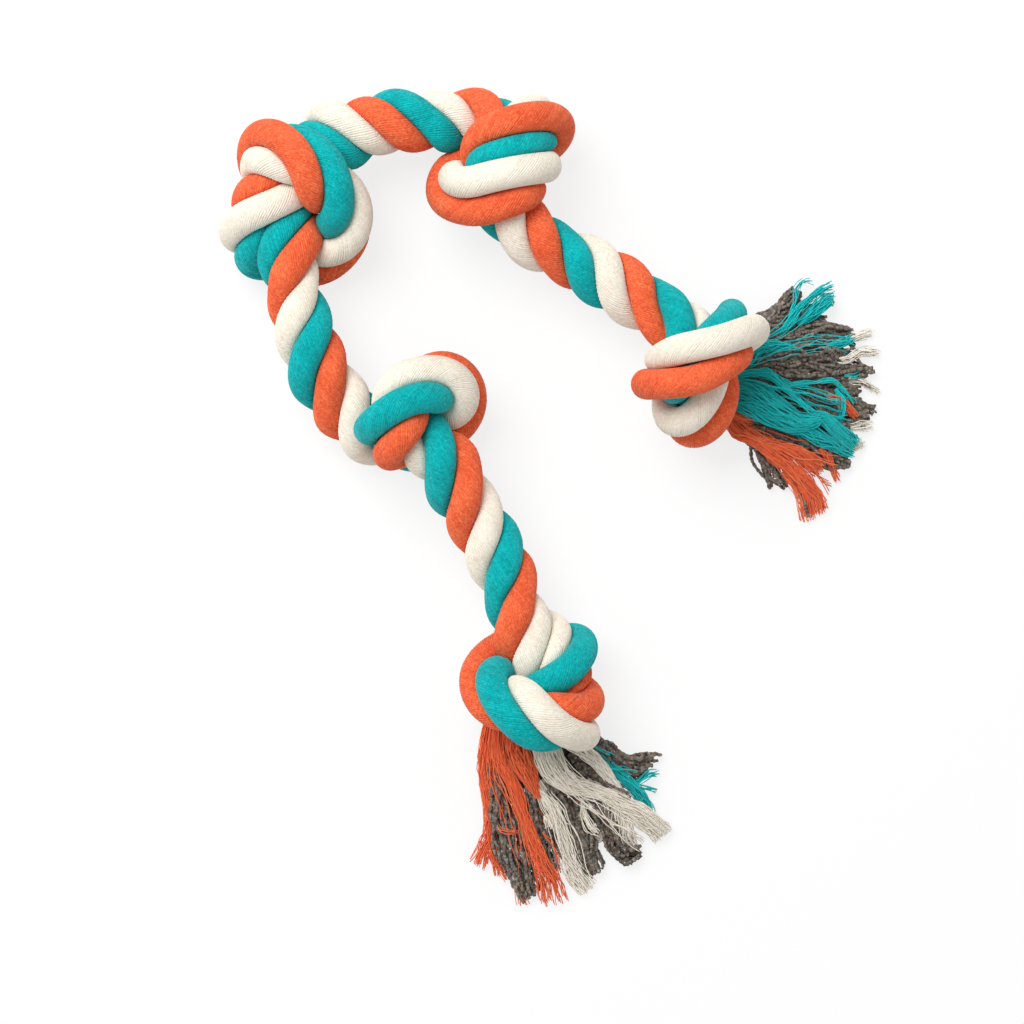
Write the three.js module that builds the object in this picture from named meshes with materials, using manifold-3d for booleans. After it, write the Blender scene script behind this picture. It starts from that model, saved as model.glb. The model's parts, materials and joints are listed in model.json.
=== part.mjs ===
// A tug rope for a dog: three laid cotton strands tied in five overhand knots, with a frayed tassel at
// each end.
// Units are millimetres and +Z is up. Seen from above, +X is to the right and +Y is up the picture.

import * as THREE from "three";
import { mergeVertices } from "three/addons/utils/BufferGeometryUtils.js";
import Module from "manifold-3d";

// Driving sizes.
const STRAND_D = 17;
const LAY_RADIUS = 10.9;
const ROPE_D = 37;
const ROPE_Z = 38;
const GAP = 0.5;
const LOCK_GAP = 0.3;
const BEND_GAP = 0.6;
const FLAT_DEPTH = 1.7;
const BALL_R = 20;
const BALL_REACH = 1.4 * BALL_R;
const BALL_BLOCK = 4 * BALL_R;
const LOCK_ROOT = 17;
const THIN_LOCK_R = 2;
const FLOOR_WIDTH = 2000;
const FLOOR_DEPTH = 100;

// How finely the solids are drawn. A strand is not measured against itself within its own reach.
const SIDES = 6;
const LOCK_SIDES = 8;
const TUBE_STEP = 10;
const LOCK_STEP = 10;
const OWN_REACH = 40;
const NEAR = 3 * STRAND_D;

// How a knot is drawn up: the rope is stepped along its loose path, thickened from thin and pulled tight.
const STEP = 6;
const STRAIGHT = 36;
const ROUNDS = 600;
const THIN = 0.3;
const THICK_BY = 0.6;
const HOLD_IN = 1.15;
const HOLD_SHARE = 0.25;
const PUSH_SHARE = 0.8;
const PUSH_PASSES = 2;
const LOOK_AGAIN = 8;
const LOOK_REACH = 6;
const BEND_REACH = 1.6;
const LIFT_FROM = 0.03;
const LIFT_TO = 0.28;

const COLOURS = { cream: 0xefe6d3, orange: 0xe2572f, teal: 0x00a3a3, grey: 0x5f564e };
const STRANDS = ["cream", "orange", "teal"];
const FULL_TURN = 2 * Math.PI;

// A loose overhand knot in rope diameters, with its ends along X.
const LOOSE_KNOT = [
  [-3.65, -0.95, 0],
  [-2.45, -0.95, -0.5],
  [-0.65, -0.95, 0.1],
  [0.85, -0.75, 0.5],
  [2.35, -0.05, 0],
  [2.65, 1.25, -0.5],
  [1.75, 2.45, 0],
  [-0.15, 2.75, 0],
  [-2.25, 1.65, 0],
  [-2.65, -0.75, 0.8],
  [-1.25, -2.45, 0.1],
  [0.35, -1.75, -0.8],
  [1.35, 0.05, -0.3],
  [2.65, 0.95, 0.7],
  [4.35, 0.95, 0.3],
];

// Each knot: the rope's way in and out, the middle of the knot, how the loose knot is turned there in
// degrees, its turns of lay and how they crowd towards its middle and its way in, its size, how it is
// stretched along, across and in depth, and how hard it is drawn up.
// A turn of 0 has the cream strand on top at that end.
const KNOTS = [
  {
    name: "knot_1",
    enter: [[-4, -177, 25], [-6, -162, 30], [-8, -148, 36]],
    centre: [-9.4, -109.1, 29.9],
    leave: [[-22, -52, ROPE_Z], [-31, -35, ROPE_Z], [-40, -17, ROPE_Z]],
    enterTurn: 164.4, leaveTurn: 0, enterLay: 73, leaveLay: 73,
    roll: 6.6, yaw: -35.8, pitch: -26.8, turns: 4.73, crowd: [-0.262, 0.13],
    size: 0.293, stretch: [1, 1.05, 0.996], tension: 0.272, packing: 0.901,
  },
  {
    name: "knot_2",
    enter: [[-40, -17, ROPE_Z], [-49, 1, ROPE_Z], [-57, 20, ROPE_Z]],
    centre: [-81.2, 49.2, 37.3],
    leave: [[-128, 60, ROPE_Z], [-139, 77, ROPE_Z], [-145, 94, ROPE_Z]],
    enterTurn: 0, leaveTurn: 240, enterLay: 73, leaveLay: 72,
    roll: 142.4, yaw: 64, pitch: -35.8, turns: 3.64, crowd: [0.225, 0.089],
    size: 0.232, stretch: [1, 0.913, 1.044], tension: 0.267, packing: 1,
  },
  {
    name: "knot_3",
    enter: [[-145, 94, ROPE_Z], [-150, 110, ROPE_Z], [-152, 126, ROPE_Z]],
    centre: [-157, 180.9, 39.6],
    leave: [[-129, 218, ROPE_Z], [-115, 227, ROPE_Z], [-100, 230, ROPE_Z]],
    enterTurn: 240, leaveTurn: 120, enterLay: 72, leaveLay: 66,
    roll: 163.6, yaw: 20.8, pitch: 8, turns: 4.43, crowd: [-0.031, -0.35],
    size: 0.376, stretch: [1.016, 0.987, 0.995], tension: 0.136, packing: 0.888,
  },
  {
    name: "knot_4",
    enter: [[-100, 230, ROPE_Z], [-85, 231, ROPE_Z], [-70, 229, ROPE_Z]],
    centre: [-30.7, 205.2, 30.7],
    leave: [[2, 157, ROPE_Z], [18, 146, ROPE_Z], [34, 135, ROPE_Z]],
    enterTurn: 120, leaveTurn: 0, enterLay: 66, leaveLay: 63,
    roll: 219.8, yaw: -41.6, pitch: 43.7, turns: 4.18, crowd: [0.165, 0.272],
    size: 0.255, stretch: [0.921, 1.229, 1.268], tension: 0.028, packing: 0.889,
  },
  {
    name: "knot_5",
    enter: [[34, 135, ROPE_Z], [47, 126, ROPE_Z], [61, 115, ROPE_Z]],
    centre: [88.2, 79.7, 22.8],
    leave: [[126, 80, 34], [141, 80, 30], [156, 80, 25]],
    enterTurn: 0, leaveTurn: 358.7, enterLay: 63, leaveLay: 73,
    roll: 276.7, yaw: -82, pitch: -31.1, turns: 3.07, crowd: [-0.209, -0.511],
    size: 0.431, stretch: [0.844, 1.025, 1.1], tension: 0.3, packing: 0.956,
  },
];

// The bends of each span lie this far either side of its middle.
const SPANS = [
  { name: "span_12", reach: 26 },
  { name: "span_23", reach: 18 },
  { name: "span_34", reach: 7 },
  { name: "span_45", reach: 16 },
];

// Each lock of a tassel: its colour, its place in the root's ball sideways and up and the radius at its
// root, middle and tip, all as shares of the ball's radius, and the route by which it lies on the floor.
const TASSELS = [
  {
    name: "tassel_1",
    reach: 15,
    outward: [0.1, -1, 0],
    locks: [
      { name: "core_left", colour: "grey", root: [-0.5, -0.45], radii: [0.35, 0.6, 0.4],
        route: [[-26, -198, 13], [-24, -225, 9], [-21, -240, 7]] },
      { name: "core_mid", colour: "grey", root: [0, -0.5], radii: [0.35, 0.6, 0.4],
        route: [[1, -198, 11], [3, -228, 8]] },
      { name: "core_right", colour: "grey", root: [0.5, -0.45], radii: [0.35, 0.6, 0.4],
        route: [[30, -192, 12], [46, -214, 8]] },
      { name: "core_edge", colour: "grey", root: [0.6, 0], radii: [0.35, 0.6, 0.4],
        route: [[42, -160, 15], [64, -155, 8]] },
      { name: "orange_left", colour: "orange", root: [-0.6, 0], radii: [0.35, 0.45, 0.3],
        route: [[-40, -180, 22], [-43, -207, 12], [-44, -225, 8]] },
      { name: "orange_mid", colour: "orange", root: [-0.45, 0.475], radii: [0.35, 0.45, 0.3],
        route: [[-15, -198, 27], [-6, -228, 14], [1, -249, 8]] },
      { name: "cream_right", colour: "cream", root: [0, 0.55], radii: [0.35, 0.45, 0.3],
        route: [[33, -180, 26], [54, -195, 13], [68, -201, 8]] },
      { name: "cream_mid", colour: "cream", root: [0, 0], radii: [0.35, 0.45, 0.3],
        route: [[10, -201, 23], [17, -225, 12], [19, -237, 8]] },
      { name: "teal_right", colour: "teal", root: [0.475, 0.425], radii: [0.35, 0.4, 0.3],
        route: [[44, -167, 26], [57, -181, 9]] },
    ],
  },
  {
    name: "tassel_5",
    reach: 15,
    outward: [1, -0.1, 0],
    locks: [
      { name: "core_top", colour: "grey", root: [0.625, -0.025], radii: [0.35, 0.6, 0.4],
        route: [[152, 110, 14], [169, 121, 8]] },
      { name: "core_upper", colour: "grey", root: [0.5, -0.45], radii: [0.35, 0.6, 0.4],
        route: [[165, 90, 11], [195, 92, 7]] },
      { name: "core_lower", colour: "grey", root: [0, -0.5], radii: [0.35, 0.6, 0.4],
        route: [[165, 58, 12], [193, 53, 7]] },
      { name: "core_low", colour: "grey", root: [-0.5, -0.45], radii: [0.35, 0.6, 0.4],
        route: [[151, 36, 13], [170, 14, 7]] },
      { name: "teal_top", colour: "teal", root: [0.45, 0.51], radii: [0.35, 0.45, 0.3],
        route: [[152, 122, 24], [172, 134, 9]] },
      { name: "teal_mid", colour: "teal", root: [-0.4, 0.5], radii: [0.35, 0.45, 0.3],
        route: [[162, 48, 28], [183, 32, 9]] },
      { name: "teal_upper", colour: "teal", root: [0.06, 0.49], radii: [0.35, 0.45, 0.3],
        route: [[165, 99, 30], [186, 107, 10]] },
      { name: "orange_low", colour: "orange", root: [-0.6, 0], radii: [0.35, 0.45, 0.3],
        route: [[146, 22, 22], [160, -9, 8]] },
      { name: "cream_far", colour: "cream", root: [0, 0], radii: [0.35, 0.45, 0.3],
        route: [[172, 73, 21], [198, 71, 8]] },
    ],
  },
];

const UP = new THREE.Vector3(0, 0, 1);
const wasm = await Module();
wasm.setup();

function radians(degrees) {
  return degrees * Math.PI / 180;
}

function vector(point) {
  return new THREE.Vector3(point[0], point[1], point[2]);
}

// Points spaced evenly along a smooth curve through the anchors.
function evenPoints(anchors, step) {
  const curve = new THREE.CatmullRomCurve3(anchors, false, "catmullrom", 0.5);
  curve.arcLengthDivisions = anchors.length * 24;
  return curve.getSpacedPoints(Math.round(curve.getLength() / step));
}

// The loose knot set down between the rope's way in and its way out.
function loosePath(knot) {
  const enter = knot.enter.map(vector);
  const leave = knot.leave.map(vector);
  const along = leave[0].clone().sub(enter[enter.length - 1]).setZ(0).normalize();
  along.applyAxisAngle(UP, radians(knot.yaw));
  along.multiplyScalar(Math.cos(radians(knot.pitch))).addScaledVector(UP, Math.sin(radians(knot.pitch)));
  const side = UP.clone().cross(along).normalize().applyAxisAngle(along, radians(knot.roll));
  const over = along.clone().cross(side);
  const scale = knot.size * ROPE_D;
  const loops = LOOSE_KNOT.map(([x, y, z]) => vector(knot.centre)
    .addScaledVector(along, x * scale * knot.stretch[0])
    .addScaledVector(side, y * scale * knot.stretch[1])
    .addScaledVector(over, z * scale * knot.stretch[2]));
  return evenPoints([...enter, ...loops, ...leave], STEP);
}

function tangentsOf(path) {
  const last = path.length - 1;
  return path.map((_, i) => path[Math.min(i + 1, last)].clone().sub(path[Math.max(i - 1, 0)]).normalize());
}

// Normals carried along a path without twisting.
function carriedNormals(tangents, first) {
  const normals = [first];
  for (let i = 1; i < tangents.length; i += 1) {
    normals.push(normals[i - 1].clone().projectOnPlane(tangents[i]).normalize());
  }
  return normals;
}

// The turn of the cream strand at a length along the path. The lay is the span's own near either end.
function layTurn(knot, length, carried) {
  const start = radians(knot.enterTurn);
  const plain = radians(knot.leaveTurn) - start - carried;
  const total = plain + FULL_TURN * Math.round(knot.turns - plain / FULL_TURN);
  const first = FULL_TURN * STRAIGHT / knot.enterLay;
  const last = FULL_TURN * STRAIGHT / knot.leaveLay;
  const rate = (total - first - last) / (length - 2 * STRAIGHT);
  return (at) => {
    if (at < STRAIGHT) {
      return start + FULL_TURN * at / knot.enterLay;
    }
    if (at > length - STRAIGHT) {
      return start + total - FULL_TURN * (length - at) / knot.leaveLay;
    }
    const half = Math.PI * (at - STRAIGHT) / (length - 2 * STRAIGHT);
    const crowded = knot.crowd[0] * Math.sin(half) + knot.crowd[1] * Math.sin(2 * half);
    return start + first + rate * (at - STRAIGHT) + crowded * Math.sin(half);
  };
}

// Three thin strands laid around the loose path. The first and last two points of each are held.
function looseStrands(knot) {
  const path = loosePath(knot);
  const count = path.length;
  const tangents = tangentsOf(path);
  const normals = carriedNormals(tangents, UP.clone().projectOnPlane(tangents[0]).normalize());
  const end = count - 1;
  const endUp = UP.clone().projectOnPlane(tangents[end]).normalize();
  const endRight = tangents[end].clone().cross(endUp);
  const carried = Math.atan2(normals[end].dot(endRight), normals[end].dot(endUp));
  const turn = layTurn(knot, end * STEP, carried);
  const points = new Float64Array(9 * count);
  const free = new Float64Array(3 * count).fill(1);
  for (let strand = 0; strand < 3; strand += 1) {
    for (let i = 0; i < count; i += 1) {
      const held = i < 2 || i > end - 2;
      const radius = LAY_RADIUS * (held ? 1 : THIN);
      const angle = turn(i * STEP) - strand * FULL_TURN / 3;
      const right = tangents[i].clone().cross(normals[i]);
      const place = path[i].clone()
        .addScaledVector(normals[i], radius * Math.cos(angle))
        .addScaledVector(right, radius * Math.sin(angle));
      place.toArray(points, 3 * (strand * count + i));
      free[strand * count + i] = held ? 0 : 1;
    }
  }
  return { count, points, free };
}

// Moves two points towards a wanted distance: sign 1 draws them in, sign -1 pushes them apart.
function setDistance({ points, free }, a, b, wanted, share, sign) {
  const dx = points[3 * b] - points[3 * a];
  const dy = points[3 * b + 1] - points[3 * a + 1];
  const dz = points[3 * b + 2] - points[3 * a + 2];
  const length = Math.sqrt(dx * dx + dy * dy + dz * dz) || 1e-9;
  const weight = free[a] + free[b];
  if ((length - wanted) * sign <= 0 || weight === 0) {
    return;
  }
  const move = share * (length - wanted) / length / weight;
  points[3 * a] += free[a] * move * dx;
  points[3 * a + 1] += free[a] * move * dy;
  points[3 * a + 2] += free[a] * move * dz;
  points[3 * b] -= free[b] * move * dx;
  points[3 * b + 1] -= free[b] * move * dy;
  points[3 * b + 2] -= free[b] * move * dz;
}

// Pairs of points that may touch, leaving out neighbours along one strand.
function nearPairs({ points, count }, reach, skip) {
  const pairs = [];
  for (let a = 0; a < 3 * count; a += 1) {
    for (let b = a + 1; b < 3 * count; b += 1) {
      const sameStrand = Math.floor(a / count) === Math.floor(b / count);
      if (sameStrand && b - a <= skip) {
        continue;
      }
      const dx = points[3 * a] - points[3 * b];
      const dy = points[3 * a + 1] - points[3 * b + 1];
      const dz = points[3 * a + 2] - points[3 * b + 2];
      if (dx * dx + dy * dy + dz * dz < reach * reach) {
        pairs.push([a, b]);
      }
    }
  }
  return pairs;
}

function pullStraight({ points, free, count }, tension) {
  const before = points.slice();
  for (let a = 1; a < 3 * count - 1; a += 1) {
    for (let axis = 0; axis < 3 && free[a]; axis += 1) {
      const middle = 0.5 * (before[3 * a - 3 + axis] + before[3 * a + 3 + axis]);
      points[3 * a + axis] += tension * (middle - before[3 * a + axis]);
    }
  }
}

// Thickens the strands to full size while they are pulled tight and kept apart.
function drawUp(rope, knot) {
  let pairs = [];
  for (let round = 0; round < ROUNDS; round += 1) {
    const size = STRAND_D * (THIN + (1 - THIN) * Math.min(1, round / (ROUNDS * THICK_BY)));
    const apart = size * knot.packing;
    if (round % LOOK_AGAIN === 0) {
      pairs = nearPairs(rope, apart + LOOK_REACH, Math.ceil(BEND_REACH * size / STEP));
    }
    pullStraight(rope, knot.tension);
    for (let i = 0; i < rope.count; i += 1) {
      setDistance(rope, i, rope.count + i, HOLD_IN * size, HOLD_SHARE, 1);
      setDistance(rope, rope.count + i, 2 * rope.count + i, HOLD_IN * size, HOLD_SHARE, 1);
      setDistance(rope, i, 2 * rope.count + i, HOLD_IN * size, HOLD_SHARE, 1);
    }
    for (let pass = 0; pass < PUSH_PASSES; pass += 1) {
      pairs.forEach(([a, b]) => setDistance(rope, a, b, apart, PUSH_SHARE, -1));
    }
  }
}

// Lifts or lowers the middle of a knot until the underside of its lowest strand is pressed flat on the floor.
function settle(strands) {
  const undersides = linesOf(strands).flatMap(({ points, radii }) => points.map(({ z }, i) => z - radii[i]));
  const lift = -FLAT_DEPTH - Math.min(...undersides);
  strands.forEach((strand) => strand.forEach((point, i) => {
    const at = i / (strand.length - 1);
    point.z += lift * THREE.MathUtils.smoothstep(Math.min(at, 1 - at), LIFT_FROM, LIFT_TO);
  }));
}

function tieKnot(knot) {
  const rope = looseStrands(knot);
  drawUp(rope, knot);
  const strands = STRANDS.map((_, strand) => {
    const places = [];
    for (let i = 0; i < rope.count; i += 1) {
      places.push(new THREE.Vector3().fromArray(rope.points, 3 * (strand * rope.count + i)));
    }
    return places;
  });
  settle(strands);
  return strands;
}

// The five knots joined end to end: three long strands, and the index where each span has its middle.
function joinKnots(knots) {
  const strands = STRANDS.map(() => []);
  const joins = [];
  knots.forEach((knot, k) => {
    strands.forEach((strand, s) => strand.push(...knot[s].slice(k === 0 ? 0 : 1)));
    joins.push(strands[0].length - 1);
  });
  return { strands, joins: joins.slice(0, -1) };
}

function ropeCentre({ strands }, i) {
  return strands[0][i].clone().add(strands[1][i]).add(strands[2][i]).divideScalar(3);
}

// The first index, going from one index in one direction, that is at least a distance away.
function indexAway(rope, from, direction, distance) {
  const start = ropeCentre(rope, from);
  let i = from;
  while (ropeCentre(rope, i).distanceTo(start) < distance) {
    i += direction;
  }
  return i;
}

// The least distance between two straight segments.
function segmentDistance(a0, a1, b0, b1) {
  const u = a1.clone().sub(a0);
  const v = b1.clone().sub(b0);
  const w = a0.clone().sub(b0);
  const uu = u.dot(u);
  const uv = u.dot(v);
  const vv = v.dot(v);
  const uw = u.dot(w);
  const vw = v.dot(w);
  const cross = uu * vv - uv * uv;
  const clamp = THREE.MathUtils.clamp;
  let s = cross > 1e-9 ? clamp((uv * vw - vv * uw) / cross, 0, 1) : 0;
  const t = clamp((uv * s + vw) / vv, 0, 1);
  s = clamp((uv * t - uw) / uu, 0, 1);
  return w.addScaledVector(u, s).addScaledVector(v, -t).length();
}

// Visits each two segments of two lines that lie close together, leaving out neighbours along one line.
function visitNear(lineA, lineB, visit) {
  const skip = Math.ceil(OWN_REACH / TUBE_STEP);
  for (let i = 0; i < lineA.points.length - 1; i += 1) {
    const from = lineA === lineB ? i + skip : 0;
    for (let j = from; j < lineB.points.length - 1; j += 1) {
      if (lineA.points[i].distanceTo(lineB.points[j]) < NEAR) {
        const [a0, a1] = [lineA.points[i], lineA.points[i + 1]];
        const [b0, b1] = [lineB.points[j], lineB.points[j + 1]];
        visit(i, j, segmentDistance(a0, a1, b0, b1));
      }
    }
  }
}

// Thins two lines' radii where their tubes would come closer than the gap.
function keepApart(lineA, lineB, gap) {
  visitNear(lineA, lineB, (i, j, apart) => {
    const most = (apart - gap) / 2;
    lineA.radii[i] = Math.min(lineA.radii[i], most);
    lineA.radii[i + 1] = Math.min(lineA.radii[i + 1], most);
    lineB.radii[j] = Math.min(lineB.radii[j], most);
    lineB.radii[j + 1] = Math.min(lineB.radii[j + 1], most);
  });
}

function eachTwo(lines, visit) {
  lines.forEach((line, a) => lines.slice(a).forEach((other) => visit(line, other)));
}

// Each strand in even steps, with its radius at every point, thinned where strands press on each other.
function linesOf(strands) {
  const lines = strands.map((strand) => {
    const points = evenPoints(strand, TUBE_STEP);
    return { points, radii: points.map(() => STRAND_D / 2) };
  });
  eachTwo(lines, (line, other) => keepApart(line, other, GAP));
  return lines;
}

function leastGap(lines) {
  let least = Infinity;
  eachTwo(lines, (line, other) => visitNear(line, other, (i, j, apart) => {
    const thick = Math.max(line.radii[i], line.radii[i + 1]) + Math.max(other.radii[j], other.radii[j + 1]);
    least = Math.min(least, apart - thick);
  }));
  return least;
}

function nearestIndex(points, place) {
  const away = points.map((point) => point.distanceToSquared(place));
  return away.indexOf(Math.min(...away));
}

// A closed tube through a line's points, as vertices and triangles.
function tubeMesh(points, radii, sides) {
  const tangents = tangentsOf(points);
  const away = Math.abs(tangents[0].z) < 0.9 ? UP : new THREE.Vector3(1, 0, 0);
  const normals = carriedNormals(tangents, away.clone().projectOnPlane(tangents[0]).normalize());
  const vertices = [];
  const triangles = [];
  points.forEach((point, i) => {
    const right = tangents[i].clone().cross(normals[i]);
    for (let k = 0; k < sides; k += 1) {
      const angle = FULL_TURN * k / sides;
      const place = point.clone()
        .addScaledVector(normals[i], -radii[i] * Math.cos(angle))
        .addScaledVector(right, radii[i] * Math.sin(angle));
      vertices.push(...place.toArray());
    }
  });
  const last = sides * (points.length - 1);
  for (let i = 0; i < last; i += sides) {
    for (let k = 0; k < sides; k += 1) {
      const next = (k + 1) % sides;
      triangles.push(i + k, i + sides + k, i + next);
      triangles.push(i + next, i + sides + k, i + sides + next);
    }
  }
  for (let k = 1; k < sides - 1; k += 1) {
    triangles.push(0, k, k + 1);
    triangles.push(last, last + k + 1, last + k);
  }
  return { vertices, triangles };
}

function solid({ vertices, triangles }) {
  return new wasm.Manifold(new wasm.Mesh({
    numProp: 3,
    vertProperties: new Float32Array(vertices),
    triVerts: new Uint32Array(triangles),
  }));
}

function solidOf(geometry) {
  geometry.deleteAttribute("normal");
  geometry.deleteAttribute("uv");
  const merged = mergeVertices(geometry);
  return solid({ vertices: merged.attributes.position.array, triangles: merged.index.array });
}

function ball(centre, radius) {
  return solidOf(new THREE.IcosahedronGeometry(radius, 2).translate(centre.x, centre.y, centre.z));
}

// A block that starts at one point and runs a length in a direction.
function blockAlong(start, direction, length, width) {
  const block = new THREE.BoxGeometry(width, width, length).translate(0, 0, length / 2);
  block.applyQuaternion(new THREE.Quaternion().setFromUnitVectors(UP, direction));
  return solidOf(block.translate(start.x, start.y, start.z));
}

function largest(manifold) {
  return manifold.decompose().reduce((best, piece) => (piece.volume() > best.volume() ? piece : best));
}

function aboveFloor(manifold) {
  const floor = solidOf(new THREE.BoxGeometry(FLOOR_WIDTH, FLOOR_WIDTH, FLOOR_DEPTH)
    .translate(0, 0, -FLOOR_DEPTH / 2));
  return largest(manifold.subtract(floor));
}

function meshOf(name, manifold, colour) {
  const { vertProperties, triVerts } = aboveFloor(manifold).getMesh();
  const geometry = new THREE.BufferGeometry();
  geometry.setAttribute("position", new THREE.BufferAttribute(new Float32Array(vertProperties), 3));
  geometry.setIndex(new THREE.BufferAttribute(new Uint32Array(triVerts), 1));
  geometry.computeVertexNormals();
  const material = new THREE.MeshStandardMaterial({ color: COLOURS[colour], roughness: 0.95 });
  const mesh = new THREE.Mesh(geometry, material);
  mesh.name = name;
  return mesh;
}

function lineTube({ points, radii }, from, to, sides) {
  return solid(tubeMesh(points.slice(from, to + 1), radii.slice(from, to + 1), sides));
}

// The tube of a strand between two of the rope's steps.
function strandTube({ strands, lines }, s, from, to) {
  const [start, end] = [from, to].map((at) => nearestIndex(lines[s].points, strands[s][at]));
  return lineTube(lines[s], start, end, SIDES);
}

// A strand's length in a knot, hollowed at both ends for the balls of its neighbours.
function knotStrand(rope, s, bends) {
  const [enter, leave] = bends;
  return bends.reduce(
    (piece, { centre }) => piece.subtract(ball(centre, BALL_R + BEND_GAP)),
    strandTube(rope, s, enter.index, leave.index),
  );
}

// A strand's length in a span, rounded at both ends about the two bends.
function spanStrand(rope, s, bends) {
  const from = indexAway(rope, bends[0].index, -1, BALL_REACH);
  const to = indexAway(rope, bends[1].index, 1, BALL_REACH);
  const [near, far] = bends.map((bend) => bend.centre);
  const across = far.clone().sub(near);
  const middle = blockAlong(near, across.clone().normalize(), across.length(), BALL_BLOCK);
  const shape = ball(near, BALL_R).add(ball(far, BALL_R)).add(middle);
  return strandTube(rope, s, from, to).intersect(shape);
}

function lockLine(lock, centre, outward) {
  const side = UP.clone().cross(outward);
  const start = centre.clone()
    .addScaledVector(side, lock.root[0] * BALL_R)
    .addScaledVector(UP, lock.root[1] * BALL_R);
  const before = start.clone().addScaledVector(outward, -LOCK_ROOT);
  const points = evenPoints([before, start, ...lock.route.map(vector)], LOCK_STEP);
  const [rootRadius, midRadius, tipRadius] = lock.radii.map((share) => share * BALL_R);
  const radii = points.map((_, i) => {
    const at = 2 * i / (points.length - 1);
    const lerp = THREE.MathUtils.lerp;
    return at < 1 ? lerp(rootRadius, midRadius, at) : lerp(midRadius, tipRadius, at - 1);
  });
  return { points, radii };
}

// The parts of a line outside a ball, where its tube is left as it is.
function outsideBall({ points, radii }, centre) {
  const kept = points.map((point) => point.distanceTo(centre) > BALL_R);
  return { points: points.filter((_, i) => kept[i]), radii: radii.filter((_, i) => kept[i]) };
}

// Thins a lock's radii where, outside the ball at its root, it would come closer than the gap to a strand.
function keepClear(line, other, centre) {
  visitNear(line, other, (i, j, apart) => {
    if (line.points[i + 1].distanceTo(centre) < BALL_R) {
      return;
    }
    const most = Math.max(THIN_LOCK_R, apart - GAP - Math.max(other.radii[j], other.radii[j + 1]));
    line.radii[i] = Math.min(line.radii[i], most);
    line.radii[i + 1] = Math.min(line.radii[i + 1], most);
  });
}

function buildToy() {
  const rope = joinKnots(KNOTS.map(tieKnot));
  rope.lines = linesOf(rope.strands);
  console.log(`Least gap between the strands: ${leastGap(rope.lines).toFixed(2)} mm`);
  const bendAt = (index) => ({ index, centre: ropeCentre(rope, index) });
  const spanBends = SPANS.map(({ reach }, k) => [
    bendAt(indexAway(rope, rope.joins[k], -1, reach)),
    bendAt(indexAway(rope, rope.joins[k], 1, reach)),
  ]);
  const lastIndex = rope.strands[0].length - 1;
  const roots = [
    bendAt(indexAway(rope, 0, 1, TASSELS[0].reach)),
    bendAt(indexAway(rope, lastIndex, -1, TASSELS[1].reach)),
  ];
  const meshes = [];
  KNOTS.forEach(({ name }, k) => {
    const enter = k === 0 ? roots[0] : spanBends[k - 1][1];
    const leave = k === KNOTS.length - 1 ? roots[1] : spanBends[k][0];
    STRANDS.forEach((colour, s) => {
      meshes.push(meshOf(`${name}_${colour}`, knotStrand(rope, s, [enter, leave]), colour));
    });
  });
  SPANS.forEach(({ name }, k) => {
    STRANDS.forEach((colour, s) => {
      meshes.push(meshOf(`${name}_${colour}`, spanStrand(rope, s, spanBends[k]), colour));
    });
  });
  TASSELS.forEach(({ name, locks, outward: lie }, t) => {
    const root = roots[t];
    const outward = vector(lie).normalize();
    const knotLines = rope.lines.map((line) => outsideBall(line, root.centre));
    const lockLines = locks.map((lock) => lockLine(lock, root.centre, outward));
    lockLines.forEach((line, a) => {
      lockLines.slice(a + 1).forEach((other) => keepApart(line, other, LOCK_GAP));
    });
    const behind = blockAlong(root.centre, outward.clone().negate(), BALL_BLOCK, BALL_BLOCK);
    const waste = behind.subtract(ball(root.centre, BALL_R));
    locks.forEach((lock, i) => {
      knotLines.forEach((line) => keepClear(lockLines[i], line, root.centre));
      const piece = lineTube(lockLines[i], 0, lockLines[i].points.length - 1, LOCK_SIDES).subtract(waste);
      meshes.push(meshOf(`${name}_${lock.name}`, piece, lock.colour));
    });
  });
  const toy = new THREE.Group();
  toy.name = "rope_toy";
  const box = new THREE.Box3();
  meshes.forEach((mesh) => box.expandByObject(mesh));
  const middle = box.getCenter(new THREE.Vector3()).setZ(0);
  meshes.forEach((mesh) => {
    mesh.geometry.translate(-middle.x, -middle.y, 0);
    toy.add(mesh);
  });
  const placed = (bend) => bend.centre.clone().sub(middle).toArray();
  toy.userData.bends = { spans: spanBends.map((bends) => bends.map(placed)), tassels: roots.map(placed) };
  return toy;
}

export default buildToy();
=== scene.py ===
# The looks of a rope dog toy: three cotton strands laid together, tied in five knots, with frayed ends.
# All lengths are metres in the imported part's own frame, with the floor at z = 0.

import heapq
import json
import math

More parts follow.
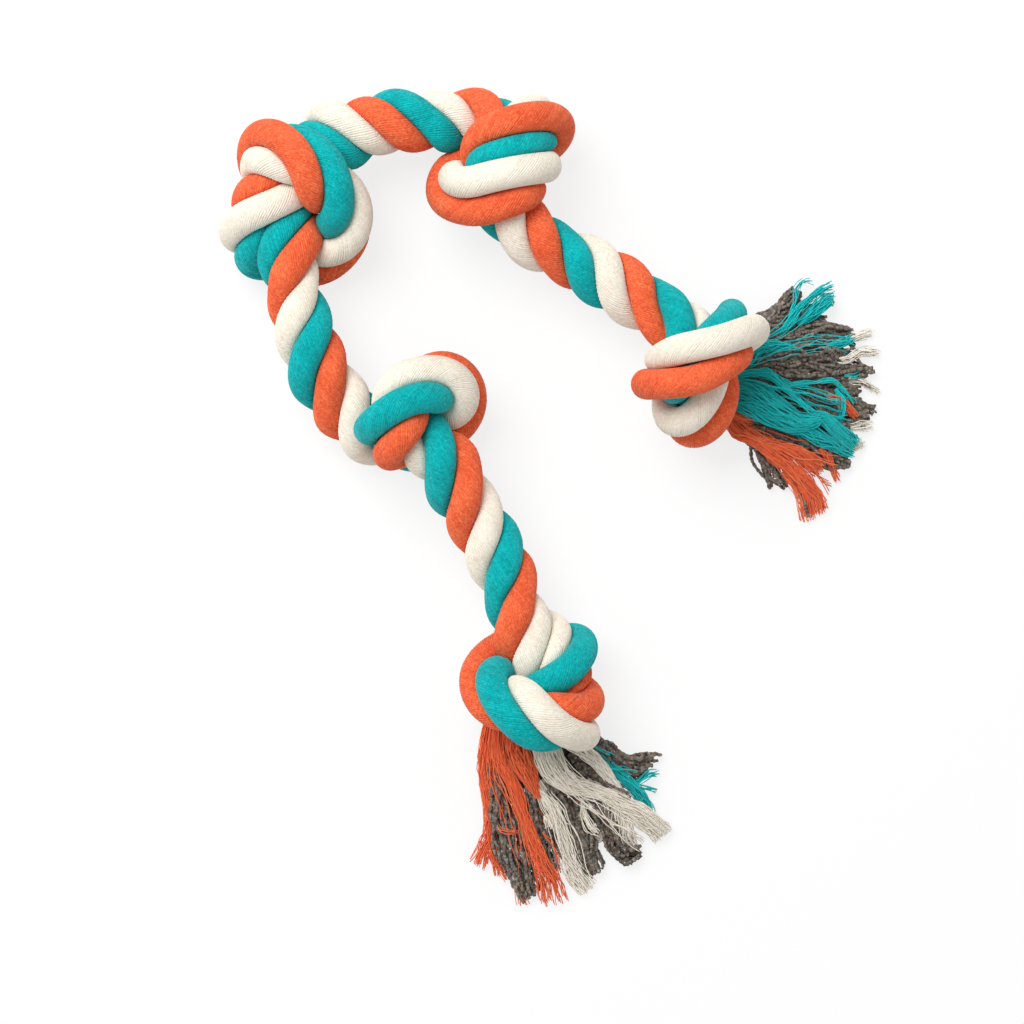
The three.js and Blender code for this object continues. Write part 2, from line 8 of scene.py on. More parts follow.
import bmesh
import bpy
import numpy as np
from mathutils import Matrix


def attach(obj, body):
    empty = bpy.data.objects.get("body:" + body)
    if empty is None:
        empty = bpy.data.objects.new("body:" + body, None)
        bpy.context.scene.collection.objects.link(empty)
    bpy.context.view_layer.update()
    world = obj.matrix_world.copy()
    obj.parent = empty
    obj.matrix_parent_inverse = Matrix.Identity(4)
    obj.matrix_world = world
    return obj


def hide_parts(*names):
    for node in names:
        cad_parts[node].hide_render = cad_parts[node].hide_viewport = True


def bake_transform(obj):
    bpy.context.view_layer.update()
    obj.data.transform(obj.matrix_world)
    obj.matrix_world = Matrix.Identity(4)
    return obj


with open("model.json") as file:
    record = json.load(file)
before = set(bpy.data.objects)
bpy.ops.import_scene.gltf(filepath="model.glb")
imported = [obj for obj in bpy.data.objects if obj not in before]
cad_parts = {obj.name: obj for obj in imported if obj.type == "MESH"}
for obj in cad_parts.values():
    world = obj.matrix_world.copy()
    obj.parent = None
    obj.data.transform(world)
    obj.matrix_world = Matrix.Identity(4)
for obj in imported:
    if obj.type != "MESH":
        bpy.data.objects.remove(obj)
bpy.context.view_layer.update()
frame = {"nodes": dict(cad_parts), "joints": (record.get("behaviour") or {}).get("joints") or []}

# The view: straight down on the toy from standing height, so the rope shows its plan and little of its
# sides. The frame's middle and width are those of the picture, taken at the height of the rope's middle.
VIEW_MIDDLE = (-0.0252, -0.0028)
VIEW_WIDTH = 0.6144
VIEW_LEVEL = 0.038
VIEW_DISTANCE = 1.9
SENSOR_WIDTH = 36
scene = bpy.context.scene
scene.view_settings.view_transform = "Standard"
camera_data = bpy.data.cameras.new("overhead")
camera_data.sensor_width = SENSOR_WIDTH
camera_data.lens = SENSOR_WIDTH * VIEW_DISTANCE / VIEW_WIDTH
camera = bpy.data.objects.new("overhead", camera_data)
camera.location = (*VIEW_MIDDLE, VIEW_LEVEL + VIEW_DISTANCE)
scene.collection.objects.link(camera)
scene.camera = camera

# The studio: a plain white sweep on the floor, one wide soft lamp above to the upper left, and even light
# all round. Much of the sweep's white is a glow of its own, so it stays nearly white under a soft shadow.
SKY_STRENGTH = 0.58
LAMP_WATTS = 41
LAMP_PLACE = (-0.75, 0.95, 1.9)
LAMP_SIZE = 1.5
SWEEP_HALF = 4
PAPER_WHITE = (0.9, 0.9, 0.9, 1)
PAPER_ROUGHNESS = 0.9
GLOW_SHARE = 0.78
world = bpy.data.worlds.new("even_light")
scene.world = world
world.use_nodes = True
sky = world.node_tree.nodes["Background"]
sky.inputs["Color"].default_value = (1, 1, 1, 1)
sky.inputs["Strength"].default_value = SKY_STRENGTH
lamp_data = bpy.data.lights.new("soft_lamp", "AREA")
lamp_data.shape = "DISK"
lamp_data.size = LAMP_SIZE
lamp_data.energy = LAMP_WATTS
lamp = bpy.data.objects.new("soft_lamp", lamp_data)
lamp.location = LAMP_PLACE
lamp.rotation_euler = (-lamp.location).to_track_quat("-Z", "Y").to_euler()
scene.collection.objects.link(lamp)

sweep_mesh = bpy.data.meshes.new("sweep")
sweep_corners = [(SWEEP_HALF * x, SWEEP_HALF * y, 0) for x, y in ((-1, -1), (1, -1), (1, 1), (-1, 1))]
sweep_mesh.from_pydata(sweep_corners, [], [(0, 1, 2, 3)])
sweep = bpy.data.objects.new("sweep", sweep_mesh)
scene.collection.objects.link(sweep)
paper = bpy.data.materials.new("white_paper")
paper.use_nodes = True
paper_nodes = paper.node_tree.nodes
paper_links = paper.node_tree.links
sheet = paper_nodes["Principled BSDF"]
sheet.inputs["Base Color"].default_value = PAPER_WHITE
sheet.inputs["Roughness"].default_value = PAPER_ROUGHNESS
glow = paper_nodes.new("ShaderNodeEmission")
seen = paper_nodes.new("ShaderNodeLightPath")
share = paper_nodes.new("ShaderNodeMath")
share.operation = "MULTIPLY"
share.inputs[1].default_value = GLOW_SHARE
mixed = paper_nodes.new("ShaderNodeMixShader")
paper_links.new(seen.outputs["Is Camera Ray"], share.inputs[0])
paper_links.new(share.outputs[0], mixed.inputs["Fac"])
paper_links.new(sheet.outputs["BSDF"], mixed.inputs[1])
paper_links.new(glow.outputs["Emission"], mixed.inputs[2])
paper_links.new(mixed.outputs["Shader"], paper_nodes["Material Output"].inputs["Surface"])
sweep_mesh.materials.append(paper)

# The three strands: each is a fat soft roving of cotton under a skin of spun yarns that wind round it
# left-handed. They are laid right-handed into one rope, from the first tassel through five knots to the
# last. Their lines are found from the solids: walked end to end, then centred on cuts across them.
STRANDS = ["cream", "orange", "teal"]
LENGTHS = ["knot_1", "span_12", "knot_2", "span_23", "knot_3", "span_34", "knot_4", "span_45", "knot_5"]
BENDS = ["tassel_1_swing", "knot_1_lift", "span_12_swing", "knot_2_lift", "span_23_swing",
         "span_34_swing", "knot_4_lift", "span_45_swing", "knot_5_lift", "tassel_5_swing"]
JOIN_DIGITS = 6
START_REACH = 0.012
WALK_STEP = 0.003
WALK_SOFT = 3
END_LOSS = 0.010
NEAR_CUT = 0.016
CUT_WINDOW = 0.022
CENTRE_ROUNDS = 4
CENTRE_SOFT = 1.5
TINY_LENGTH = 1e-9
joint_place = {joint["name"]: np.array(joint["pos_m"]) for joint in frame["joints"]}
bend_places = [joint_place[name] for name in BENDS]


def joined_triangles(node):
    """The points and triangles of a CAD node, with its loose triangles joined at their corners."""
    mesh = frame["nodes"][node].data
    mesh.calc_loop_triangles()
    points = np.empty(3 * len(mesh.vertices), np.float32)
    mesh.vertices.foreach_get("co", points)
    corners = np.empty(3 * len(mesh.loop_triangles), np.int32)
    mesh.loop_triangles.foreach_get("vertices", corners)
    points, joined = np.unique(points.reshape(-1, 3).round(JOIN_DIGITS), axis=0, return_inverse=True)
    return points.astype(float), joined.ravel()[corners].reshape(-1, 3)


def walked(points, triangles, starts):
    """The least way along the edges from the start points to every point."""
    neighbours = [set() for _ in points]
    for a, b, c in triangles:
        neighbours[a].update((b, c))
        neighbours[b].update((a, c))
        neighbours[c].update((a, b))
    way = np.full(len(points), np.inf)
    way[starts] = 0
    queue = [(0.0, int(start)) for start in starts]
    while queue:
        length, a = heapq.heappop(queue)
        if length > way[a]:
            continue
        for b in neighbours[a]:
            longer = length + float(np.linalg.norm(points[a] - points[b]))
            if longer < way[b]:
                way[b] = longer
                heapq.heappush(queue, (longer, int(b)))
    return way


def cut_middle(points, triangles, heights):
    """The middle of the outline along which the heights pass through zero."""
    values = heights[triangles]
    after = values[:, [1, 2, 0]]
    crossed = values * after < 0
    whole = crossed.sum(axis=1) == 2
    if not whole.any():
        return None
    here = points[triangles[whole]]
    there = here[:, [1, 2, 0]]
    part = values[whole] / np.where(crossed[whole], values[whole] - after[whole], 1)
    places = here + part[:, :, None] * (there - here)
    ends = places[crossed[whole]].reshape(-1, 2, 3)
    lengths = np.linalg.norm(ends[:, 0] - ends[:, 1], axis=1) + TINY_LENGTH
    return (ends.mean(axis=1) * lengths[:, None]).sum(axis=0) / lengths.sum()


def along_line(line):
    return np.concatenate([[0], np.cumsum(np.linalg.norm(np.diff(line, axis=0), axis=1))])


def evenly(line, step):
    along = along_line(line)
    at = np.linspace(0, along[-1], round(along[-1] / step) + 1)
    return np.column_stack([np.interp(at, along, line[:, axis]) for axis in range(3)])


def softened(rows, reach):
    """Rows of numbers, each smoothed with those up to three reaches away. The ends carry straight on."""
    wide = int(3 * reach) + 1
    before = 2 * rows[0] - rows[wide:0:-1]
    after = 2 * rows[-1] - rows[-2:-wide - 2:-1]
    padded = np.concatenate([before, rows, after])
    weights = np.exp(-0.5 * (np.arange(-wide, wide + 1) / reach) ** 2)
    weights /= weights.sum()
    return sum(weight * padded[i:i + len(rows)] for i, weight in enumerate(weights))


def directions(line):
    ahead = np.gradient(line, axis=0)
    return ahead / np.linalg.norm(ahead, axis=1)[:, None]


def node_line(node, first, last):
    """The line down the middle of a strand's solid, from its end at the first bend to the other."""
    points, triangles = joined_triangles(node)
    far = np.argmax(walked(points, triangles, [0]))
    starts = np.flatnonzero(walked(points, triangles, [far]) < START_REACH)
    way = walked(points, triangles, starts)
    levels = np.arange(WALK_STEP, way.max(), WALK_STEP)
    found = [(level, cut_middle(points, triangles, way - level)) for level in levels]
    levels = np.array([level for level, place in found if place is not None])
    line = softened(np.array([place for _, place in found if place is not None]), WALK_SOFT)
    middles = points[triangles].mean(axis=1)
    triangle_way = way[triangles].mean(axis=1)
    for _ in range(CENTRE_ROUNDS):
        ahead = directions(line)
        centred = []
        for place, forward, level in zip(line, ahead, levels):
            near = np.linalg.norm(middles - place, axis=1) < NEAR_CUT
            near &= np.abs(triangle_way - level) < CUT_WINDOW
            middle = cut_middle(points, triangles[near], (points - place) @ forward)
            centred.append(place if middle is None else middle)
        line = softened(np.array(centred), CENTRE_SOFT)
    along = along_line(line)
    line = line[(along > END_LOSS) & (along < along[-1] - END_LOSS)]
    onward = np.linalg.norm(line[0] - first) + np.linalg.norm(line[-1] - last)
    backward = np.linalg.norm(line[-1] - first) + np.linalg.norm(line[0] - last)
    return line if onward < backward else line[::-1]


# Each strand's line along the rope in even steps, with the step at which it passes each bend.
LINE_STEP = 0.0021
LINE_SOFT = 2.2
LEAD = 3
LEAST_STEPS = 10
strand_lines = {}
bend_steps = {}
for colour in STRANDS:
    parts = [
        node_line(f"{length}_{colour}", bend_places[i], bend_places[i + 1])
        for i, length in enumerate(LENGTHS)
    ]
    lead_in = parts[0][0] + (parts[0][0] - parts[0][LEAD])
    lead_out = parts[-1][-1] + (parts[-1][-1] - parts[-1][-1 - LEAD])
    line = evenly(np.vstack([lead_in, *parts, lead_out]), LINE_STEP)
    line = softened(line, LINE_SOFT)
    strand_lines[colour] = line
    steps = [0]
    for before, after in zip(parts, parts[1:]):
        seam = 0.5 * (before[-1] + after[0])
        near = np.linalg.norm(line - seam, axis=1)
        near[:steps[-1] + LEAST_STEPS] = np.inf
        steps.append(int(np.argmin(near)))
    steps.append(len(line) - 1)
    bend_steps[colour] = steps

# The strands press on each other and on the floor: a strand is round where it is free, stops half-way to
# any strand beside it, and swells on its free side by what it loses. Yarn grooves wind along its skin.
STRAND_RADIUS = 0.0089
MOST_SWELL = 1.19
SWELL_SOFT = 4
HALVINGS = 24
FACETS = 96
OWN_SKIP = 4
CREASE = 14
SQUEEZE_GAP = 0.00004
UNHINDERED = 1.0
LEAST_TOWARDS = 1e-6
LEAST_HEIGHT = 0.001
LEAST_REACH = 0.002
ASKEW = (0.3, 0.2, 0.9)
YARNS = 34
PER_YARN = 4
GROOVE = 0.00024
CROWN = 0.3
YARN_SLANT = math.radians(46)
UNEVEN = 0.55
UNEVEN_REACH = 3
UNEVEN_LIMITS = (0.1, 2)
MAP_SCALE = 10
every_line = np.vstack([strand_lines[colour] for colour in STRANDS])
every_strand = np.repeat(np.arange(3), [len(strand_lines[colour]) for colour in STRANDS])
every_step = np.concatenate([np.arange(len(strand_lines[colour])) for colour in STRANDS])


def carried_frames(line):
    """Two directions across a line at each step, carried along it without twisting."""
    ahead = directions(line)
    across = [np.cross(ahead[0], ASKEW)]
    for forward in ahead[1:]:
        across.append(across[-1] - forward * (across[-1] @ forward))
        across[-1] /= np.linalg.norm(across[-1])
    across[0] /= np.linalg.norm(across[0])
    across = np.array(across)
    return across, np.cross(ahead, across)


def free_reach(line, strand, across, beside):
    """How far a strand may reach each way across it before it meets another, itself or the floor."""
    turn = np.arange(FACETS) * 2 * math.pi / FACETS
    reach = np.full((len(line), FACETS), UNHINDERED)
    widest = 2 * MOST_SWELL * STRAND_RADIUS
    for i, place in enumerate(line):
        outward = np.cos(turn)[:, None] * across[i] + np.sin(turn)[:, None] * beside[i]
        apart = every_line - place
        far = np.einsum("ij,ij->i", apart, apart)
        other = (every_strand != strand) | (np.abs(every_step - i) > OWN_SKIP)
        near = (far < widest ** 2) & other
        if near.any():
            towards = apart[near] @ outward.T
            half_way = far[near][:, None] / (2 * np.maximum(towards, LEAST_TOWARDS))
            reach[i] = np.where(towards > LEAST_TOWARDS, half_way, UNHINDERED).min(axis=0)
        down = np.maximum(-outward[:, 2], LEAST_TOWARDS)
        reach[i] = np.minimum(reach[i], max(place[2], LEAST_HEIGHT) / down)
    return np.maximum(reach - SQUEEZE_GAP, LEAST_REACH)


def pressed_radius(reach):
    """The radius in each direction, with the section's area kept by swelling where it is free."""
    low = np.full(len(reach), STRAND_RADIUS)
    high = np.full(len(reach), MOST_SWELL * STRAND_RADIUS)
    for _ in range(HALVINGS):
        middle = 0.5 * (low + high)
        area = (np.minimum(middle[:, None], reach) ** 2).mean(axis=1)
        full = area > STRAND_RADIUS ** 2
        high = np.where(full, middle, high)
        low = np.where(full, low, middle)
    swell = softened(low, SWELL_SOFT)[:, None]
    radius = (swell ** -CREASE + reach ** -CREASE) ** (-1 / CREASE)
    around = radius + np.roll(radius, 1, axis=1) + np.roll(radius, -1, axis=1)
    return softened(around / 3, 1)


def strand_rings(colour):
    """The rings of a strand's skin: one point for each column of its wound yarns, step by step."""
    line = strand_lines[colour]
    across, beside = carried_frames(line)
    radius = pressed_radius(free_reach(line, STRANDS.index(colour), across, beside))
    columns = np.arange(YARNS * PER_YARN)
    in_yarn = columns % PER_YARN
    crown = np.where(in_yarn == PER_YARN // 2, CROWN * GROOVE, 0)
    ridge = np.where(in_yarn == 0, -GROOVE, crown)
    chances = np.random.default_rng(STRANDS.index(colour))
    uneven = softened(chances.normal(size=(len(line), YARNS)), UNEVEN_REACH)
    depth = np.clip(1 + UNEVEN * uneven / uneven.std(), *UNEVEN_LIMITS)
    ridge = ridge * np.repeat(depth, PER_YARN, axis=1)
    wound = -math.tan(YARN_SLANT) / STRAND_RADIUS * LINE_STEP * np.arange(len(line))
    turn = (columns * 2 * math.pi / len(columns) + wound[:, None]) % (2 * math.pi)
    facet = turn * FACETS / (2 * math.pi)
    lower = facet.astype(int) % FACETS
    part = facet - facet.astype(int)
    rows = np.arange(len(line))[:, None]
    reach = (1 - part) * radius[rows, lower] + part * radius[rows, (lower + 1) % FACETS] + ridge
    outward = np.cos(turn)[:, :, None] * across[:, None] + np.sin(turn)[:, :, None] * beside[:, None]
    rings = line[:, None] + reach[:, :, None] * outward
    rings[:, :, 2] = np.maximum(rings[:, :, 2], 0)
    return rings


def ring_normals(rings):
    """The outward direction of a strand's skin at every point of its rings."""
    along = np.gradient(rings, axis=0)
    round_about = np.roll(rings, -1, axis=1) - np.roll(rings, 1, axis=1)
    normals = np.cross(round_about, along)
    return normals / np.linalg.norm(normals, axis=2)[:, :, None]


def keep_normals(mesh):
    """Shades a skin by the directions stored on its points, so that it runs on smoothly over a seam."""
    stored = np.empty(3 * len(mesh.vertices), np.float32)
    mesh.attributes["skin_normal"].data.foreach_get("vector", stored)
    mesh.normals_split_custom_set_from_vertices(stored.reshape(-1, 3).tolist())
    mesh.attributes.remove(mesh.attributes["skin_normal"])


def tube(name, rings, normals, line, first):
    """A closed skin through rings, with its lengthwise and round coordinates in the map named wound."""
    count, columns = rings.shape[:2]
    points = np.vstack([rings.reshape(-1, 3), line[:1], line[-1:]])
    i, k = np.meshgrid(np.arange(count - 1), np.arange(columns), indexing="ij")
    after = (k + 1) % columns
    here = i * columns
    ahead = (i + 1) * columns
    quads = np.stack([here + k, here + after, ahead + after, ahead + k], -1)
    k0 = np.arange(columns)
    k1 = (k0 + 1) % columns
    last = (count - 1) * columns
    start_cap = np.column_stack([k1, k0, np.full(columns, count * columns)])
    end_cap = np.column_stack([last + k0, last + k1, np.full(columns, count * columns + 1)])
    mesh = bpy.data.meshes.new(name)
    faces = [*quads.reshape(-1, 4).tolist(), *start_cap.tolist(), *end_cap.tolist()]
    mesh.from_pydata(points.tolist(), [], faces)
    along = (first + np.arange(count)) * LINE_STEP * MAP_SCALE
    quad_along = np.stack([along[i], along[i], along[i + 1], along[i + 1]], -1)
    quad_round = np.stack([k, k + 1, k + 1, k], -1) / columns
    quad_map = np.stack([quad_along, quad_round], -1).reshape(-1, 2)
    cap_round = np.stack([k0 + 1, k0, k0 + 0.5], -1).reshape(-1) / columns
    start_map = np.column_stack([np.full(3 * columns, along[0]), cap_round])
    end_map = np.column_stack([np.full(3 * columns, along[-1]), cap_round])
    wound_map = np.vstack([quad_map, start_map, end_map]).astype(np.float32)
    mesh.uv_layers.new(name="wound").data.foreach_set("uv", wound_map.ravel())
    mesh.polygons.foreach_set("use_smooth", np.ones(len(mesh.polygons), bool))
    ends = np.array([line[0] - line[1], line[-1] - line[-2]])
    ends /= np.linalg.norm(ends, axis=1)[:, None]
    skin_normals = np.vstack([normals.reshape(-1, 3), ends]).astype(np.float32)
    stored = mesh.attributes.new("skin_normal", "FLOAT_VECTOR", "POINT")
    stored.data.foreach_set("vector", skin_normals.ravel())
    piece = bpy.data.objects.new(name, mesh)
    scene.collection.objects.link(piece)
    return piece


# The cotton's colour: each yarn of the skin has its own slight tone, the grooves between yarns carry
# painted shade in patches, soft patches come from handling, and pale specks of lint sit on the nap.
class Value:
    """A value in a node tree. Sums written with it add Math nodes to that tree."""

    def __init__(self, tree, socket):
        self.tree = tree
        self.socket = socket

    def __add__(self, other):
        return self.tree.sums("ADD", self, other)

    def __sub__(self, other):
        return self.tree.sums("SUBTRACT", self, other)

    def __rsub__(self, other):
        return self.tree.sums("SUBTRACT", other, self)

    def __mul__(self, other):
        return self.tree.sums("MULTIPLY", self, other)


class Tree:
    """Short ways to write into a node tree."""

    def __init__(self, tree):
        self.nodes = tree.nodes
        self.links = tree.links

    def feed(self, socket, value):
        """Joins a socket to a value of the tree, or sets it to a plain one."""
        if isinstance(value, Value):
            self.links.new(value.socket, socket)
        else:
            socket.default_value = value

    def add(self, kind, inputs=None, **settings):
        """A new node with its settings, and its inputs fed by name or by place."""
        node = self.nodes.new(kind)
        for key, value in settings.items():
            setattr(node, key, value)
        for key, value in (inputs or {}).items():
            self.feed(node.inputs[key], value)
        return node

    def out(self, kind, inputs=None, socket=0, **settings):
        """The value that a new node gives out."""
        return Value(self, self.add(kind, inputs, **settings).outputs[socket])

    def given(self):
        """The inputs of a node group by name."""
        return {socket.name: Value(self, socket) for socket in self.add("NodeGroupInput").outputs}

    def sums(self, operation, *values):
        return self.out("ShaderNodeMath", dict(enumerate(values)), operation=operation)

    def point(self, x=0.0, y=0.0, z=0.0):
        return self.out("ShaderNodeCombineXYZ", {"X": x, "Y": y, "Z": z})

    def parts(self, vector):
        return [Value(self, socket) for socket in self.add("ShaderNodeSeparateXYZ", {0: vector}).outputs]

    def smooth_step(self, value, low, high):
        limits = {"Value": value, "From Min": low, "From Max": high}
        return self.out("ShaderNodeMapRange", limits, interpolation_type="SMOOTHSTEP")

    def noise(self, vector, scale=1.0, detail=2.0, roughness=0.5):
        inputs = {"Vector": vector, "Scale": scale, "Detail": detail, "Roughness": roughness}
        return self.out("ShaderNodeTexNoise", inputs, socket="Fac")

    def mixed(self, share, first, second):
        """A colour between two others. The sockets for colours go by place, since their names repeat."""
        return self.out("ShaderNodeMix", {0: share, 6: first, 7: second}, socket=2, data_type="RGBA")


def new_group(name, kind, inputs, outputs):
    """A node group with sockets of the given names and kinds."""
    group = bpy.data.node_groups.new(name, kind)
    for in_out, sockets in (("INPUT", inputs), ("OUTPUT", outputs)):
        for socket, socket_kind in sockets.items():
            group.interface.new_socket(socket, in_out=in_out, socket_type=f"NodeSocket{socket_kind}")
    return group


SHADES = {"Body": "Color", "Deep": "Color", "Pale": "Color"}
SURFACE = {"Colour": "Color", "Height": "Float"}
WANDER = 1.1
GROOVE_EDGE = (0.26, 0.5)
YARNS_APART = 7.31
YARN_CHANGES = 2.2
FIBRES_ACROSS = 3.4
FIBRES_ALONG = 60.0
SPECK_EDGE = (0.70, 0.80)
LINTY_EDGE = (0.50, 0.66)
GROOVE_SHADE_PATCH_EDGE = (0.34, 0.62)
YARN_SHARE = 0.14
FIBRE_SHARE = 0.32
PATCH_SHARE = 0.16
FELT_SHARE = 0.48
DEEP_EDGE = (0.60, 0.40)
PALE_EDGE = (0.54, 0.70)
MOST_DEEP = 0.75
MOST_GROOVE_PAINTED_SHADE = 0.7
MOST_PALE = 0.75
MOST_LINT = 0.6
LINT = (0.82, 0.80, 0.76, 1)
FIBRE_HEIGHT = 0.5
FELT_HEIGHT = 0.9
GROOVE_HEIGHT = 0.5
spun_skin = new_group("spun_skin", "ShaderNodeTree", SHADES, SURFACE)
skin = Tree(spun_skin)
given = skin.given()
place = skin.out("ShaderNodeTexCoord", socket="Object")
along, around, _ = skin.parts(skin.out("ShaderNodeUVMap", uv_map="wound"))
wander = (skin.noise(place, scale=330.0, detail=1.0) - 0.5) * WANDER
yarn_at = around * YARNS + wander
yarn_number = skin.sums("FLOOR", yarn_at)
from_middle = skin.sums("ABSOLUTE", skin.sums("FRACT", yarn_at) - 0.5)
groove_mask = skin.smooth_step(from_middle, *GROOVE_EDGE)
yarn_tone = skin.noise(skin.point(yarn_number * YARNS_APART, along * YARN_CHANGES), detail=1.0)
fibre_place = skin.point(yarn_at * FIBRES_ACROSS, along * FIBRES_ALONG)
fibre = skin.noise(fibre_place, detail=3.0, roughness=0.6)
patch = skin.noise(place, scale=75.0, detail=3.0)
felt = skin.noise(place, scale=620.0, detail=3.0, roughness=0.7)
speck = skin.smooth_step(skin.noise(place, scale=1300.0, detail=1.0), *SPECK_EDGE)
linty = skin.smooth_step(skin.noise(place, scale=190.0, detail=1.0), *LINTY_EDGE)
shown = skin.smooth_step(skin.noise(place, scale=260.0), *GROOVE_SHADE_PATCH_EDGE)
tone = yarn_tone * YARN_SHARE + fibre * FIBRE_SHARE + patch * PATCH_SHARE + felt * FELT_SHARE
deep_share = skin.smooth_step(tone, *DEEP_EDGE) * MOST_DEEP
# Painted shade: the grooves between yarns are darkened towards the deep shade, in patches.
deep_share = skin.sums("MAXIMUM", deep_share, groove_mask * shown * MOST_GROOVE_PAINTED_SHADE)
pale_share = skin.smooth_step(tone, *PALE_EDGE) * MOST_PALE
skin_colour = skin.mixed(deep_share, given["Body"], given["Deep"])
skin_colour = skin.mixed(pale_share, skin_colour, given["Pale"])
skin_colour = skin.mixed(speck * linty * MOST_LINT, skin_colour, LINT)
height = fibre * FIBRE_HEIGHT + felt * FELT_HEIGHT - groove_mask * GROOVE_HEIGHT
skin.add("NodeGroupOutput", {"Colour": skin_colour, "Height": height})

COTTON = {
    "cream": {"Body": (0.89, 0.825, 0.71), "Deep": (0.68, 0.59, 0.47), "Pale": (0.95, 0.91, 0.83)},
    "orange": {"Body": (0.86, 0.145, 0.052), "Deep": (0.54, 0.042, 0.015), "Pale": (0.97, 0.265, 0.11)},
    "teal": {"Body": (0.0, 0.42, 0.43), "Deep": (0.0, 0.185, 0.20), "Pale": (0.01, 0.555, 0.56)},
}
NAP_TINT = {"cream": (1, 0.97, 0.92, 1), "orange": (1, 0.70, 0.58, 1), "teal": (0.72, 0.95, 0.95, 1)}
COTTON_FINISH = {
    "Roughness": 0.92, "Specular IOR Level": 0.12, "Sheen Weight": 0.22, "Sheen Roughness": 0.45,
}
SKIN_BUMP = {"Strength": 0.6, "Distance": 0.0003}


def finish(tree, finish_values, colour, bump_values, height):
    """Gives a material its colour and dull finish, its nap as sheen and its fibres as a fine bump."""
    bump = tree.out("ShaderNodeBump", {**bump_values, "Height": height})
    shader = tree.nodes["Principled BSDF"]
    for name, value in {**finish_values, "Base Color": colour, "Normal": bump}.items():
        tree.feed(shader.inputs[name], value)


def cotton_material(colour, group, shades, bump_values):
    """A cotton of one colour, drawn by a node group from its three shades."""
    material = bpy.data.materials.new(f"{colour}_{group.name}")
    material.use_nodes = True
    tree = Tree(material.node_tree)
    inputs = {name: (*shade, 1) for name, shade in shades.items()}
    drawn = tree.add("ShaderNodeGroup", inputs, node_tree=group)
    surface, height = [Value(tree, drawn.outputs[name]) for name in SURFACE]
    finish(tree, {**COTTON_FINISH, "Sheen Tint": NAP_TINT[colour]}, surface, bump_values, height)
    return material


skin_material = {
    colour: cotton_material(colour, spun_skin, COTTON[colour], SKIN_BUMP) for colour in STRANDS
}

# Each strand is shown in lengths: one that goes through each knot and stays with it, and two in each
# span.
# They meet ring on ring inside the knots and in one flat cut in mid span. At the two ends the knot's
# length stops short, where the strand opens into its threads.
SEAM_WAY = 0.030
BEND_HALF = 0.013
MOST_OF_HALF = 0.96
ROPE_REACH = 9
CUT_NEAR = 1e-7
OPENS_BEFORE = {"knot_1": 0.040, "knot_5": 0.044}
strand_skin = {colour: strand_rings(colour) for colour in STRANDS}
strand_normals = {colour: ring_normals(strand_skin[colour]) for colour in STRANDS}


def rope_direction(bend):
    """The rope's own direction at a bend, from all three strands."""
    total = np.zeros(3)
    for colour in STRANDS:
        line = strand_lines[colour]
        step = bend_steps[colour][bend]
        total += line[min(step + ROPE_REACH, len(line) - 1)] - line[max(step - ROPE_REACH, 0)]
    return total / np.linalg.norm(total)


def strand_piece(name, colour, first, last):
    """A strand's skin between two of its steps."""
    kept = slice(first, last + 1)
    rings = strand_skin[colour][kept]
    normals = strand_normals[colour][kept]
    piece = tube(name, rings, normals, strand_lines[colour][kept], first)
    piece.data.materials.append(skin_material[colour])
    return piece


def cut_flat(piece, middle, normal, keep_before):
    """Cuts a piece flat across the middle of a span and closes the cut."""
    shape = bmesh.new()
    shape.from_mesh(piece.data)
    geometry = [*shape.verts, *shape.edges, *shape.faces]
    bmesh.ops.bisect_plane(
        shape, geom=geometry, dist=CUT_NEAR, plane_co=middle, plane_no=normal,
        clear_outer=keep_before, clear_inner=not keep_before,
    )
    rim = [edge for edge in shape.edges if edge.is_boundary]
    bmesh.ops.holes_fill(shape, edges=rim, sides=0)
    shape.to_mesh(piece.data)
    shape.free()


def seam_step(colour, bend, side):
    """The step inside the knot beside a bend at which the knot's own length of a strand begins."""
    return bend_steps[colour][bend] + side * round(SEAM_WAY / LINE_STEP)


def opening_step(colour, knot, bend, side):
    """The step at which a strand of an end knot opens into its threads."""
    line = strand_lines[colour]
    outward = side * rope_direction(bend)
    reach = (line - bend_places[bend]) @ outward
    order = range(len(line)) if side < 0 else range(len(line) - 1, -1, -1)
    return next(step for step in order if reach[step] < -OPENS_BEFORE[knot])


last_bend = len(LENGTHS)
half_pieces = {}
for i in range(1, last_bend, 2):
    near_bend, far_bend = bend_places[i], bend_places[i + 1]
    middle = 0.5 * (near_bend + far_bend)
    normal = (far_bend - near_bend) / np.linalg.norm(far_bend - near_bend)
    half_way = 0.5 * np.linalg.norm(far_bend - near_bend)
    forward = min(BEND_HALF, MOST_OF_HALF * half_way) * normal
    for colour in STRANDS:
        first = seam_step(colour, i, -1)
        last = seam_step(colour, i + 1, 1)
        for bend, keep_before in ((i, True), (i + 1, False)):
            end = LENGTHS[i - 1] if keep_before else LENGTHS[i + 1]
            piece = strand_piece(f"{LENGTHS[i]}_{colour}_to_{end}", colour, first, last)
            cut_flat(piece, middle, normal, keep_before)
            keep_normals(piece.data)
            place = bend_places[bend]
            tuple(place - forward)
            tuple(place + forward)
            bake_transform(piece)
            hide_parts(f"{LENGTHS[i]}_{colour}")
            half_pieces.setdefault((end, colour), []).append(piece)

for i in range(0, last_bend, 2):
    knot = LENGTHS[i]
    for colour in STRANDS:
        first = opening_step(colour, knot, i, -1) if i == 0 else seam_step(colour, i, 1)
        at_end = i + 1 == last_bend
        last = opening_step(colour, knot, i + 1, 1) if at_end else seam_step(colour, i + 1, -1)
        line = strand_lines[colour][first:last + 1]
        piece = strand_piece(f"{knot}_{colour}_strand", colour, first, last)
        keep_normals(piece.data)
        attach(piece, knot)
        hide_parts(f"{knot}_{colour}")

